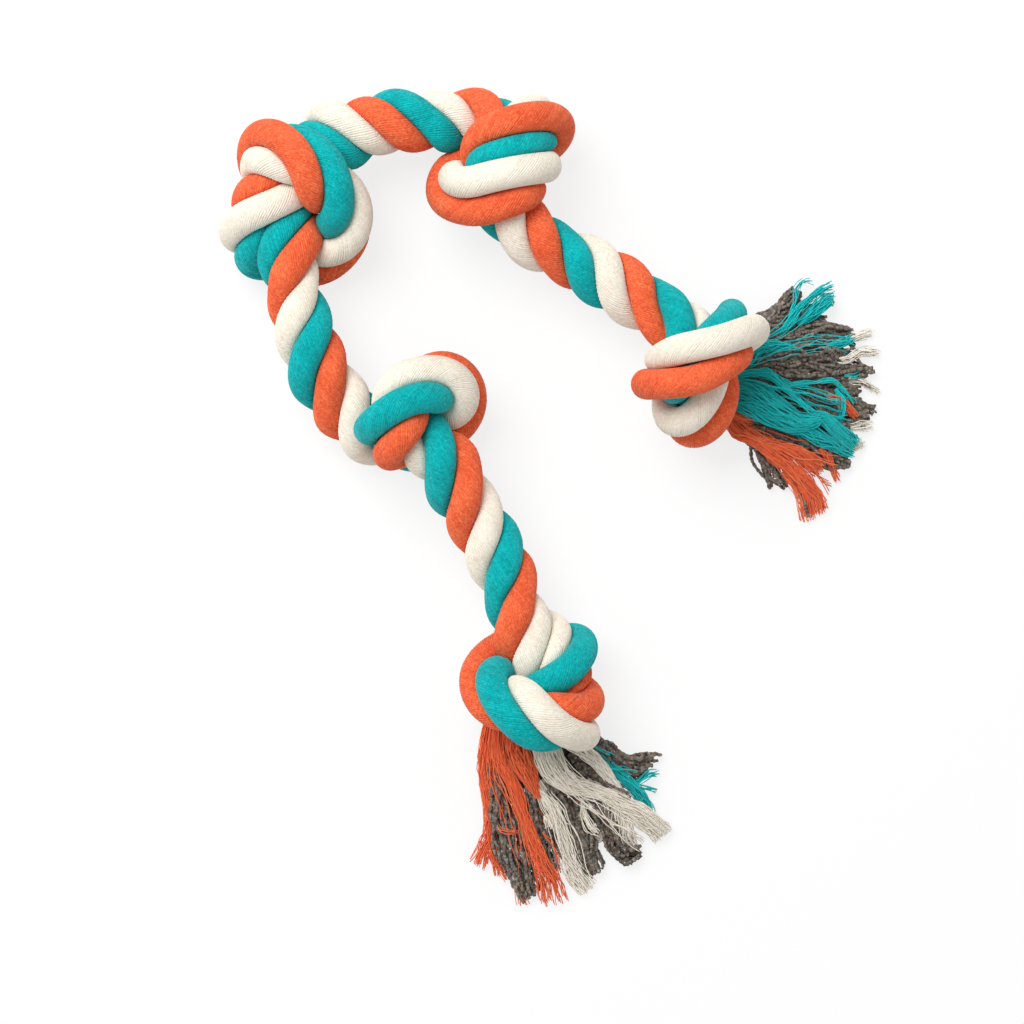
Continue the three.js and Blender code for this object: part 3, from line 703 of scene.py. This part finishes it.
# The tassels: past each end knot the strands are unlaid. A lock is a bundle of threads that follows a
# route out of the knot and down to the floor, spreads, waves, crosses itself a little and ends raggedly.
# Each route is given point by point in millimetres, with the half width of the bundle there.
MM = 0.001
FIRST_TURN = 0.5
CROSSING = 5.0
FLATNESS = 0.8
WAVES_APART = 60.0
WAVE_GAIN = 4.0
LOOSE_ABOVE = 0.94
LOOSE_GAIN = 1.6
HELD_UNTIL = 0.3
FLOOR_CLEAR = 0.0016
NO_FLOOR = -9.0
RAGGED_POWER = 2.0
TILT_SPREAD = 6.0
THICKEST = 1.12
THICKNESS_SPREAD = 0.3
LOCK_SIZES = ("Thread radius", "Spacing", "Wave", "Wave length", "Shortest", "Ply twist", "Ply waist")
lock_inputs = {"Routes": "Geometry", **dict.fromkeys(LOCK_SIZES, "Float")}
lock_inputs |= {"Sides": "Int", "Seed": "Int", "Material": "Material"}
lock_tree = new_group("lock_of_threads", "GeometryNodeTree", lock_inputs, {"Threads": "Geometry"})
lock = Tree(lock_tree)
given = lock.given()


def vectors(operation, *values):
    """A Vector Math node of the lock tree."""
    return lock.out("ShaderNodeVectorMath", dict(enumerate(values)), operation=operation)


def scaled(vector, size):
    """A vector of the lock tree times a number."""
    return lock.out("ShaderNodeVectorMath", {0: vector, "Scale": size}, operation="SCALE")


def after(node, kind, inputs=None, **settings):
    """A node of the lock tree that takes the threads up from another."""
    fed = {0: Value(lock, node.outputs[0]), **(inputs or {})}
    return lock.add(f"GeometryNode{kind}", fed, **settings)


def route_value(name, data_type):
    """A number that is stored on the points of the routes."""
    inputs = {"Name": name}
    return lock.out("GeometryNodeInputNamedAttribute", inputs, socket="Attribute", data_type=data_type)


def stored(node, name, value):
    """The threads with a number stored on their points."""
    inputs = {"Name": name, "Value": value}
    return after(node, "StoreNamedAttribute", inputs, data_type="FLOAT", domain="POINT")


routes = lock.add("GeometryNodeMeshToCurve", {"Mesh": given["Routes"]})
smooth_routes = after(routes, "CurveSplineType", spline_type="CATMULL_ROM")
stepped = after(smooth_routes, "ResampleCurve", {"Length": given["Spacing"]}, mode="LENGTH")
thread_count = route_value("threads", "INT")
copied = after(stepped, "DuplicateElements", {"Amount": thread_count}, domain="SPLINE")
numbered = after(copied, "CaptureAttribute", domain="CURVE")
numbered.capture_items.new("INT", "thread")
lock.feed(numbered.inputs["thread"], lock.out("GeometryNodeInputIndex"))


def chance(draw):
    """A number from 0 to 1, drawn afresh for each thread."""
    inputs = {"ID": Value(lock, numbered.outputs["thread"]), "Seed": given["Seed"] + draw}
    return lock.out("FunctionNodeRandomValue", inputs, socket=1, data_type="FLOAT")


parameter = lock.add("GeometryNodeSplineParameter")
at_share = Value(lock, parameter.outputs["Factor"])
at_length = Value(lock, parameter.outputs["Length"])
ahead = lock.out("GeometryNodeInputTangent")
here = lock.out("GeometryNodeInputPosition")
sideways = vectors("NORMALIZE", vectors("CROSS_PRODUCT", ahead, (0.0, 0.0, 1.0)))
lean = (chance(1) - 0.5) * at_share
turned = chance(2) * (2 * math.pi) + FIRST_TURN + lean * CROSSING
out_by = lock.sums("SQRT", chance(3)) * route_value("half_width", "FLOAT")
to_side = lock.sums("COSINE", turned) * out_by
to_top = lock.sums("SINE", turned) * (out_by * FLATNESS)
spread_by = vectors("ADD", scaled(sideways, to_side), lock.point(z=to_top))
spread = after(numbered, "SetPosition", {"Offset": spread_by})

wave_rate = lock.sums("DIVIDE", 1.0, given["Wave length"])
wave_inputs = {"Vector": here, "Scale": wave_rate, "W": chance(4) * WAVES_APART, "Detail": 1.0}
ripple = lock.out("ShaderNodeTexNoise", wave_inputs, socket="Color", noise_dimensions="4D")
swing = vectors("SUBTRACT", ripple, (0.5, 0.5, 0.5))
loose = lock.sums("GREATER_THAN", chance(5), LOOSE_ABOVE) * LOOSE_GAIN + WAVE_GAIN
held = lock.smooth_step(at_share, 0.0, HELD_UNTIL)
wave_by = scaled(swing, loose * held * given["Wave"])
waved = after(spread, "SetPosition", {"Offset": wave_by})
lifted = vectors("MAXIMUM", here, (NO_FLOOR, NO_FLOOR, FLOOR_CLEAR))
on_floor = after(waved, "SetPosition", {"Position": lifted})
cut_share = lock.sums("POWER", chance(6), RAGGED_POWER) * (1.0 - given["Shortest"])
ragged = after(on_floor, "TrimCurve", {"End": 1.0 - cut_share}, mode="FACTOR")
toned = stored(ragged, "tone", chance(7))
measured = stored(toned, "along", at_length)
winding = at_length * given["Ply twist"] + chance(9) * TILT_SPREAD
twisted = after(measured, "SetCurveTilt", {"Tilt": winding})

circle = {"Radius": 1.0, "Resolution": given["Sides"]}
section = lock.add("GeometryNodeCurvePrimitiveCircle", circle, mode="RADIUS")
section_x = lock.parts(here)[0]
pinch = given["Ply waist"] + section_x * section_x * (1.0 - given["Ply waist"])
two_lobed = after(section, "SetPosition", {"Position": scaled(here, pinch)})
thickness = given["Thread radius"] * (THICKEST - chance(8) * THICKNESS_SPREAD)
skinned = after(twisted, "CurveToMesh", {
    "Profile Curve": Value(lock, two_lobed.outputs[0]), "Scale": thickness, "Fill Caps": True,
})
rounded = after(skinned, "SetShadeSmooth")
whole = after(rounded, "RealizeInstances")
finished = after(whole, "SetMaterial", {"Material": given["Material"]})
lock.add("NodeGroupOutput", {"Threads": Value(lock, finished.outputs[0])})


def tassel_piece(body, part, nodes, kind, seed, locks):
    """One piece of a tassel from its locks."""
    name = f"{body}_{part}"
    slot, material, sizes = kind
    points, edges, widths, counts = [], [], [], []
    for threads, *route in locks:
        edges += [(len(points) + i, len(points) + i + 1) for i in range(len(route) - 1)]
        points += [(x * MM, y * MM, z * MM) for x, y, z, _ in route]
        widths += [width * MM for *_, width in route]
        counts += [threads] * len(route)
    mesh = bpy.data.meshes.new(name)
    mesh.from_pydata(points, edges, [])
    mesh.attributes.new("half_width", "FLOAT", "POINT").data.foreach_set("value", widths)
    mesh.attributes.new("threads", "INT", "POINT").data.foreach_set("value", counts)
    piece = bpy.data.objects.new(name, mesh)
    scene.collection.objects.link(piece)
    modifier = piece.modifiers.new("locks", "NODES")
    modifier.node_group = lock_tree
    values = {**sizes, "Seed": seed, "Material": material}
    for item in lock_tree.interface.items_tree:
        if item.name in values:
            modifier[item.identifier] = values[item.name]
    drawn = piece.evaluated_get(bpy.context.evaluated_depsgraph_get())
    piece.data = bpy.data.meshes.new_from_object(drawn)
    piece.data.name = name
    piece.modifiers.clear()
    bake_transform(piece)
    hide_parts(*[f"{body}_{node}" for node in nodes])


# The core yarns: fuzzy two-ply yarn spun from grey-brown waste, flecked with other colours. They are the
# bulk of each strand, and lie crinkled under the coloured threads.
CORE_DARK = (0.03, 0.023, 0.019, 1)
CORE_LIGHT = (0.44, 0.37, 0.31, 1)
CORE_WARM = (0.15, 0.125, 0.105, 1)
MOST_WARM = 0.35
SPUN_ALONG = 420.0
YARN_STRIPS = 90.0
SPUN_SHARE = 0.65
FUZZ_SHARE = 0.35
LIGHT_EDGE = (0.36, 0.68)
FLECK_ABOVE = 0.95
MOST_FLECK = 0.6
FIRST_FLECK = (0.42, 0.03, 0.025, 1)
FLECKS_FROM = {0.4: (0.5, 0.28, 0.03, 1), 0.55: (0.02, 0.22, 0.25, 1), 0.78: (0.66, 0.62, 0.55, 1)}
CORE_FINISH = {
    "Roughness": 0.95, "Specular IOR Level": 0.1, "Sheen Weight": 0.15, "Sheen Roughness": 0.5,
    "Sheen Tint": (0.8, 0.75, 0.7, 1),
}
CORE_BUMP = {"Strength": 0.6, "Distance": 0.0004}
core_yarn = bpy.data.materials.new("core_yarn")
core_yarn.use_nodes = True
wool = Tree(core_yarn.node_tree)
place = wool.out("ShaderNodeTexCoord", socket="Object")
own_tone = wool.out("ShaderNodeAttribute", socket="Fac", attribute_name="tone")
own_length = wool.out("ShaderNodeAttribute", socket="Fac", attribute_name="along")
strip = wool.point(own_length * SPUN_ALONG, own_tone * YARN_STRIPS)
spun = wool.noise(strip, detail=3.0, roughness=0.65)
fuzz = wool.noise(place, scale=2400.0)
lightness = wool.smooth_step(spun * SPUN_SHARE + fuzz * FUZZ_SHARE, *LIGHT_EDGE)
core_colour = wool.mixed(lightness, CORE_DARK, CORE_LIGHT)
core_colour = wool.mixed(own_tone * MOST_WARM, core_colour, CORE_WARM)
cells = wool.out("ShaderNodeTexVoronoi", {"Vector": place, "Scale": 900.0}, socket="Color")
red, green, _ = [Value(wool, part) for part in wool.add("ShaderNodeSeparateColor", {0: cells}).outputs]
fleck_hues = wool.add("ShaderNodeValToRGB", {"Fac": green})
ramp = fleck_hues.color_ramp
ramp.interpolation = "CONSTANT"
ramp.elements.remove(ramp.elements[1])
ramp.elements[0].color = FIRST_FLECK
for position, hue in FLECKS_FROM.items():
    ramp.elements.new(position).color = hue
fleck = wool.sums("GREATER_THAN", red, FLECK_ABOVE) * MOST_FLECK
core_colour = wool.mixed(fleck, core_colour, Value(wool, fleck_hues.outputs["Color"]))
finish(wool, CORE_FINISH, core_colour, CORE_BUMP, fuzz)

CORE_SIZES = {
    "Thread radius": 0.00132, "Spacing": 0.0017, "Wave": 0.0046, "Wave length": 0.021, "Shortest": 0.74,
    "Ply twist": 820.0, "Ply waist": 0.66, "Sides": 8,
}
core = ("core_yarn", core_yarn, CORE_SIZES)
tassel_piece("tassel_1", "core_left_yarns", ["core_left", "core_mid"], core, 11, [
    (46, (-26, -128, 16, 7), (-30, -158, 14, 9), (-29.5, -178, 12, 10), (-26, -196, 10, 10),
        (-22, -213, 8, 9), (-18, -226, 6, 7), (-14, -238, 4, 5)),
    (38, (-14, -130, 16, 8), (-15, -163, 15, 9), (-10, -179, 13, 9), (-6, -196, 10, 8), (-2, -209, 7, 7),
        (2, -220, 5, 6)),
    (46, (-2, -132, 16, 8), (-2, -162, 16, 9), (8, -176, 14, 10), (14, -188, 11, 10), (18, -203, 8, 8.5),
        (22, -216, 6, 6.5), (26, -224, 4, 4.5)),
])
tassel_piece("tassel_1", "core_right_yarns", ["core_right", "core_edge"], core, 12, [
    (40, (8, -132, 14, 7), (14, -158, 14, 9), (26, -176, 13, 9), (33, -192, 10, 8), (38, -204, 7, 7),
        (45, -211, 5, 6), (53, -209, 4, 4)),
    (35, (10, -128, 18, 6), (20, -139, 18, 6), (28.5, -146, 17, 6.5), (38, -154, 14, 6),
        (48, -159, 10, 5), (58, -158, 5, 2.5)),
    (12, (34, -151, 16, 3), (46, -153, 13, 3), (56, -152, 9, 3), (64, -152, 5, 3.5)),
    (11, (10, -148, 24, 3), (22, -160, 22, 3.5), (34, -169, 20, 3), (46, -177, 16, 2.5)),
])
tassel_piece("tassel_5", "core_upper_yarns", ["core_top", "core_upper"], core, 51, [
    (35, (102, 96, 18, 6), (120, 104, 19, 5), (128.5, 111, 18, 5.5), (138, 118, 14, 5.5),
        (144, 125, 10, 5.5), (149, 131, 6, 5)),
    (30, (102, 92, 20, 5), (122, 101, 20, 4.5), (134, 107, 17, 5), (145, 110, 14, 5), (154, 117, 10, 5),
        (160, 122, 6, 4.5)),
    (14, (143, 107, 13, 4), (156, 111, 9, 4), (166, 116, 5, 3)),
    (32, (104, 88, 20, 5), (124, 97, 20, 5), (138, 101, 18, 5.5), (151, 104, 15, 5), (162, 107, 11, 4.5),
        (172, 106, 7, 4), (181, 107, 4, 3)),
    (38, (104, 84, 22, 6), (128, 90, 24, 6), (141, 92, 22, 6.5), (155, 94, 18, 6.5), (165, 96, 14, 6),
        (173, 92, 9, 5), (178, 88, 5, 4)),
    (38, (104, 80, 22, 6), (128, 86, 24, 5), (141, 84, 22, 6), (155, 83, 18, 6.5), (167, 82, 13, 6.5),
        (178, 82, 8, 6)),
    (19, (158, 84, 10, 5), (176, 85, 8, 5), (187, 84, 6, 5), (195, 83, 4, 4)),
    (14, (163, 97, 9, 4), (176, 97, 7, 4), (186, 94, 5, 4)),
])
tassel_piece("tassel_5", "core_lower_yarns", ["core_lower", "core_low"], core, 52, [
    (30, (100, 70, 18, 5), (124, 65, 19, 6), (138, 61, 17, 6), (152, 57, 13, 6), (166, 53, 9, 5),
        (178, 52, 6, 4)),
    (35, (102, 77, 22, 5), (122, 76, 24, 4.5), (131, 75, 22, 4.5), (141, 72, 18, 5), (155, 69, 14, 5),
        (165, 65, 10, 5), (168, 59, 6, 4)),
    (16, (158, 74, 9, 5), (176, 72, 7, 5), (189, 72, 4, 3.5)),
    (14, (158, 66, 9, 5), (178, 66, 7, 4), (189, 63, 5, 3), (196, 61, 3, 2)),
    (19, (160, 60, 8, 5), (178, 58, 6, 5), (188, 57, 5, 4.5), (194, 56, 4, 3)),
    (30, (100, 62, 16, 5), (122, 51, 16, 5), (134, 48, 15, 5), (146, 45, 12, 5), (156, 42, 8, 5)),
    (35, (102, 66, 17, 5), (128, 50, 13, 6), (145, 41, 12, 6), (158, 35, 9, 6), (170, 31, 6, 6),
        (181, 30, 4, 4.5)),
    (24, (136, 54, 12, 5), (158, 46, 10, 6), (172, 42, 7, 6), (184, 46, 5, 5)),
    (16, (104, 62, 17, 4), (124, 38, 10, 4), (131, 28, 8, 4), (136, 20, 6, 4), (142, 13, 4, 3.5)),
    (5, (127, 32, 8, 2), (132, 22, 6, 2), (134, 14, 4, 2)),
    (9, (128, 38, 10, 3), (141, 24, 9, 2.5), (148, 15, 7, 2.2), (152, 7, 5, 2), (155, -3, 3, 2)),
])

# The cover threads: the spun yarns of each strand's skin, set free past the knot. They hang in flat locks
# over the core, in the strand's own colour with painted light that makes them paler than the skin, and
# fray.
THREAD_OWN_SHARE = 0.6
THREAD_FIBRE_SHARE = 0.5
THREAD_DEEP_EDGE = (0.42, 0.1)
THREAD_PALE_EDGE = (0.45, 0.85)
THREAD_MOST_DEEP = 0.6
THREAD_MOST_PALE = 0.85
THREAD_BUMP = {"Strength": 0.4, "Distance": 0.0002}
# Painted light: the threads wear lighter shades than the same cotton on the skin, to make up for the
# shade among them. Their deep shade is the skin's body, and teal's body is the skin's pale.
THREAD_PAINTED_LIGHT_BODY = {"cream": "Body", "orange": "Body", "teal": "Pale"}
cover_threads = new_group("cover_threads", "ShaderNodeTree", SHADES, SURFACE)
loose_yarn = Tree(cover_threads)
given = loose_yarn.given()
own_tone = loose_yarn.out("ShaderNodeAttribute", socket="Fac", attribute_name="tone")
place = loose_yarn.out("ShaderNodeTexCoord", socket="Object")
fibre = loose_yarn.noise(place, scale=1500.0)
tone = own_tone * THREAD_OWN_SHARE + fibre * THREAD_FIBRE_SHARE
deep_share = loose_yarn.smooth_step(tone, *THREAD_DEEP_EDGE) * THREAD_MOST_DEEP
pale_share = loose_yarn.smooth_step(tone, *THREAD_PALE_EDGE) * THREAD_MOST_PALE
thread_colour = loose_yarn.mixed(deep_share, given["Body"], given["Deep"])
thread_colour = loose_yarn.mixed(pale_share, thread_colour, given["Pale"])
loose_yarn.add("NodeGroupOutput", {"Colour": thread_colour, "Height": fibre})
THREAD_SIZES = {
    "Thread radius": 0.00031, "Spacing": 0.003, "Wave": 0.0022, "Wave length": 0.018, "Shortest": 0.8,
    "Ply twist": 0.0, "Ply waist": 1.0, "Sides": 4,
}
cover = {}
for colour in STRANDS:
    cotton = COTTON[colour]
    shades = {"Body": cotton[THREAD_PAINTED_LIGHT_BODY[colour]], "Deep": cotton["Body"], "Pale": cotton["Pale"]}
    material = cotton_material(colour, cover_threads, shades, THREAD_BUMP)
    cover[colour] = (f"{colour}_cotton", material, THREAD_SIZES)
tassel_piece("tassel_1", "orange_threads", ["orange_left", "orange_mid"], cover["orange"], 13, [
    (55, (-38, -122, 22, 2.5), (-42, -140, 20, 2.4), (-43, -158, 17, 2.4), (-42, -172, 14, 2.6),
        (-39, -185, 12, 3), (-39, -198, 9, 3.5), (-42, -209, 6, 5), (-46, -219, 4, 7)),
    (55, (-35, -122, 24, 2.5), (-38, -142, 22, 2.6), (-36.5, -160, 18, 2.8), (-36.5, -173, 15, 2.6),
        (-38.5, -185, 12, 3), (-37, -199, 8, 4), (-34, -212, 5, 6), (-31, -224, 3, 6)),
    (104, (-32, -124, 28, 3), (-34, -138, 27, 3), (-32, -152, 26, 3.2), (-25, -166, 25, 3.5),
        (-20.7, -179, 23, 3.5), (-17, -192, 20, 3.6), (-12, -205, 16, 4.2), (-7.5, -217, 12, 5),
        (-3, -227, 8, 7), (1.3, -242, 4, 9.5)),
    (130, (-25, -126, 32, 6), (-23, -143, 30, 6.5), (-18, -156, 28, 6), (-13, -166, 26, 4),
        (-10, -175, 24, 1.5)),
    (22, (-12, -180, 16, 2), (-8, -188, 14, 2.5), (-4, -193, 12, 1.5)),
    (22, (-6, -212, 10, 2), (0, -219, 8, 3), (2, -223, 6, 2)),
    (22, (-24, -222, 6, 2), (-21, -231, 5, 3), (-18, -242, 3, 4)),
    (22, (-36, -216, 6, 2), (-30, -222, 4, 3), (-27, -227, 3, 3)),
    (4, (-35, -188, 16, 0.6), (-31, -195, 21, 0.6), (-21, -197, 22, 0.6)),
    (3, (-6.6, -197, 19, 0.5), (1.3, -209.6, 17, 0.5), (3, -220, 12, 0.5)),
    (12, (-34, -132, 28, 4), (-34, -158, 26, 6), (-26, -182, 22, 8), (-20, -206, 15, 10),
        (-14, -226, 6, 11)),
])
tassel_piece("tassel_1", "cream_threads", ["cream_right", "cream_mid"], cover["cream"], 14, [
    (195, (-5, -126, 34, 8), (-5, -142, 32, 8.5), (-1, -156, 30, 8), (8, -166, 28, 6),
        (20, -170, 25, 4.5), (33, -174, 22, 4.5), (42, -180, 18, 5), (52, -186, 14, 6), (61, -193, 9, 7),
        (68, -200, 4, 7.5)),
    (71, (2, -127, 34, 4), (9, -140, 33, 4), (17, -145, 32, 4), (25, -152, 29, 3.5), (31, -159, 26, 3),
        (37, -168, 22, 2), (45, -176, 17, 1)),
    (45, (28, -171, 22, 3), (35, -181, 20, 4), (35, -190, 16, 4), (31, -198, 11, 2.5),
        (24, -205, 7, 1.5)),
    (45, (36, -177, 20, 3), (42, -189, 16, 3.5), (45, -200, 11, 4), (48, -208, 5, 4)),
    (104, (-12, -162, 24, 2), (-6, -174, 22, 3), (0, -182, 20, 3.6), (3, -192, 17, 3.6),
        (6.5, -203, 13, 4), (9, -213, 10, 4.5), (15, -225, 6, 6), (22, -234, 3, 6.5)),
    (20, (17, -176, 20, 1.2), (19, -186, 19, 1.8), (22, -194, 18, 2), (27, -198, 16, 1.2)),
    (3, (-8, -171, 27, 0.4), (0.5, -178, 26, 0.4), (5.7, -187, 24, 0.4), (8.4, -192, 21, 0.4)),
    (16, (-5, -186, 21, 1.5), (-2, -190, 20, 2), (-3, -194, 18, 2)),
    (18, (-2, -146, 33, 6), (10, -164, 30, 8), (28, -178, 24, 10), (44, -190, 17, 11), (58, -199, 8, 12)),
    (12, (-10, -166, 24, 4), (0, -184, 21, 6), (8, -204, 15, 8), (14, -220, 9, 9), (20, -232, 4, 9)),
])
tassel_piece("tassel_1", "teal_threads", ["teal_right"], cover["teal"], 15, [
    (71, (14, -130, 20, 2.5), (24, -146, 20, 3), (38, -161, 17, 3.5), (48, -170, 12, 3.5),
        (55, -179, 8, 3.2), (60, -187, 4, 2)),
    (16, (45, -168, 14, 1), (51, -167, 12, 1), (58, -163, 9, 1.5), (64, -162, 6, 2)),
    (9, (47, -169, 12, 0.8), (54, -171, 9, 1), (63, -173, 5, 1.5)),
    (4, (18, -141, 26, 0.4), (29, -146.5, 27, 0.4), (36, -149, 23, 0.4)),
    (4, (26, -155, 24, 0.4), (36, -158, 23, 0.4), (43, -158.5, 20, 0.4), (49, -161, 16, 0.4)),
])
tassel_piece("tassel_5", "teal_threads", ["teal_top", "teal_mid", "teal_upper"], cover["teal"], 53, [
    (52, (96, 84, 30, 3.5), (117, 87, 31, 3.5), (122, 93, 30, 4), (128.5, 96.5, 29, 3.5),
        (138, 97, 27, 2.5), (148, 94.5, 25, 1.2)),
    (22, (98, 79, 32, 1.8), (120, 81, 33, 1.6), (128.5, 81, 32, 1.4), (135, 77, 31, 1.3),
        (142, 70, 30, 1.2), (152, 61, 28, 1.2), (160, 55, 26, 1.2)),
    (211, (96, 71, 28, 7), (116, 67, 30, 11), (127, 61, 30, 10.5), (137.5, 55, 28, 8.5), (148, 51, 26, 6),
        (158, 52.5, 24, 3.6), (161.6, 55, 23, 3), (168.5, 50, 20, 4), (177, 43, 14, 4.5),
        (184, 38, 8, 4.5)),
    (88, (144, 51, 24, 3), (154, 46, 22, 4), (162, 42, 18, 4), (169, 40, 14, 4), (176, 36, 9, 4),
        (183, 33, 4, 3)),
    (29, (138, 106, 22, 1.2), (144.5, 114, 21, 1.3), (148, 120, 18, 1.5), (155, 126, 14, 2),
        (163, 132, 9, 2.5), (170, 135, 5, 3)),
    (65, (148, 111, 16, 2), (158, 119, 14, 3), (166, 126, 10, 4), (171, 127, 5, 4)),
    (8, (143, 115, 20, 0.8), (147, 126, 15, 0.8), (148, 133, 11, 0.8), (153, 138.5, 7, 1),
        (158, 138.5, 5, 1)),
    (15, (122, 70, 29, 1), (136, 72, 29, 1), (145, 74, 28, 0.8), (158, 75.5, 25, 0.8),
        (168.5, 76.5, 21, 0.9), (175.5, 71, 17, 1.2), (182, 63, 12, 2)),
    (26, (166, 97, 18, 1.5), (174, 99, 14, 2), (182, 104, 8, 2.5)),
    (5, (177, 80, 13, 0.6), (184, 79, 10, 0.8), (189, 82, 6, 0.8)),
    (22, (171, 72, 18, 1), (175, 64, 17, 1.6), (175, 56, 15, 1.6), (173, 50, 12, 1)),
    (16, (146, 46, 18, 1), (151, 41, 16, 1.4), (155, 37, 13, 0.8)),
    (14, (104, 80, 31, 5), (126, 78, 32, 7), (142, 71, 31, 8), (158, 65, 27, 8), (172, 61, 20, 8),
        (182, 60, 12, 8)),
    (9, (104, 84, 31, 4), (128, 92, 31, 6), (144, 97, 28, 7), (160, 100, 23, 8), (174, 101, 16, 8),
        (184, 99, 9, 7)),
    (9, (126, 100, 25, 3), (138, 108, 23, 5), (148, 116, 19, 6), (158, 124, 13, 7), (166, 129, 7, 7)),
])
tassel_piece("tassel_5", "orange_threads", ["orange_low"], cover["orange"], 54, [
    (136, (98, 62, 26, 4), (110, 46, 23, 3.5), (118, 42.5, 22, 3.8), (126, 38, 21, 4.2),
        (136, 30, 19, 4.4), (147, 21, 15, 4.4), (155, 13, 11, 4.2), (160, 6, 7, 4), (164, -3, 3, 4)),
    (16, (140, 22, 12, 2), (148, 10, 9, 2), (151, 0, 6, 2), (153, -9, 3, 2.5)),
    (20, (150, 14, 12, 2), (156, 3, 8, 2), (157, -8, 3, 2.5)),
    (61, (124, 41, 22, 3), (138, 35.5, 21, 3), (148, 31, 19, 3), (155, 25, 15, 3), (161, 20, 10, 2.5)),
    (45, (136, 37.5, 22, 2), (148, 35, 20, 2.4), (156, 31, 17, 2.4), (164, 24, 11, 2.4)),
    (65, (93, 61, 26, 3.6), (111, 57, 27, 3.6), (117, 54.5, 25, 3.4), (123, 55, 21, 2.4)),
    (36, (166, 68, 16, 2), (174, 64, 15, 2.5), (179, 60, 13, 2.5), (184, 55, 8, 2)),
    (22, (162, 36, 14, 1.5), (168, 29, 12, 1.8), (171, 22, 8, 1.8), (174, 16, 4, 2)),
    (5, (160, 20, 8, 1), (165, 16, 6, 1.2), (170, 14, 3, 1)),
    (12, (104, 60, 26, 3), (130, 38, 21, 6), (146, 28, 17, 8), (158, 17, 11, 9), (165, 6, 5, 9)),
    (8, (128, 44, 22, 4), (146, 38, 20, 6), (160, 34, 15, 7), (174, 28, 8, 8)),
])
tassel_piece("tassel_5", "cream_threads", ["cream_far"], cover["cream"], 55, [
    (22, (160, 100, 6, 2), (176, 101, 6, 2), (186, 104, 5, 2), (196, 107, 3, 2.5)),
    (32, (165, 92, 10, 2), (178, 90, 10, 2.2), (188, 95, 7, 2.4), (199, 94, 3, 2.5)),
    (26, (168, 80, 6, 2), (182, 78, 6, 2), (190, 76, 5, 2), (199, 70, 3, 2.2)),
    (26, (165, 50, 6, 2), (180, 49, 6, 2.5), (188, 50, 5, 2.8), (195, 50, 3, 2)),
    (29, (170, 38, 5, 2), (182, 36, 5, 2.5), (189, 40, 3, 3)),
])
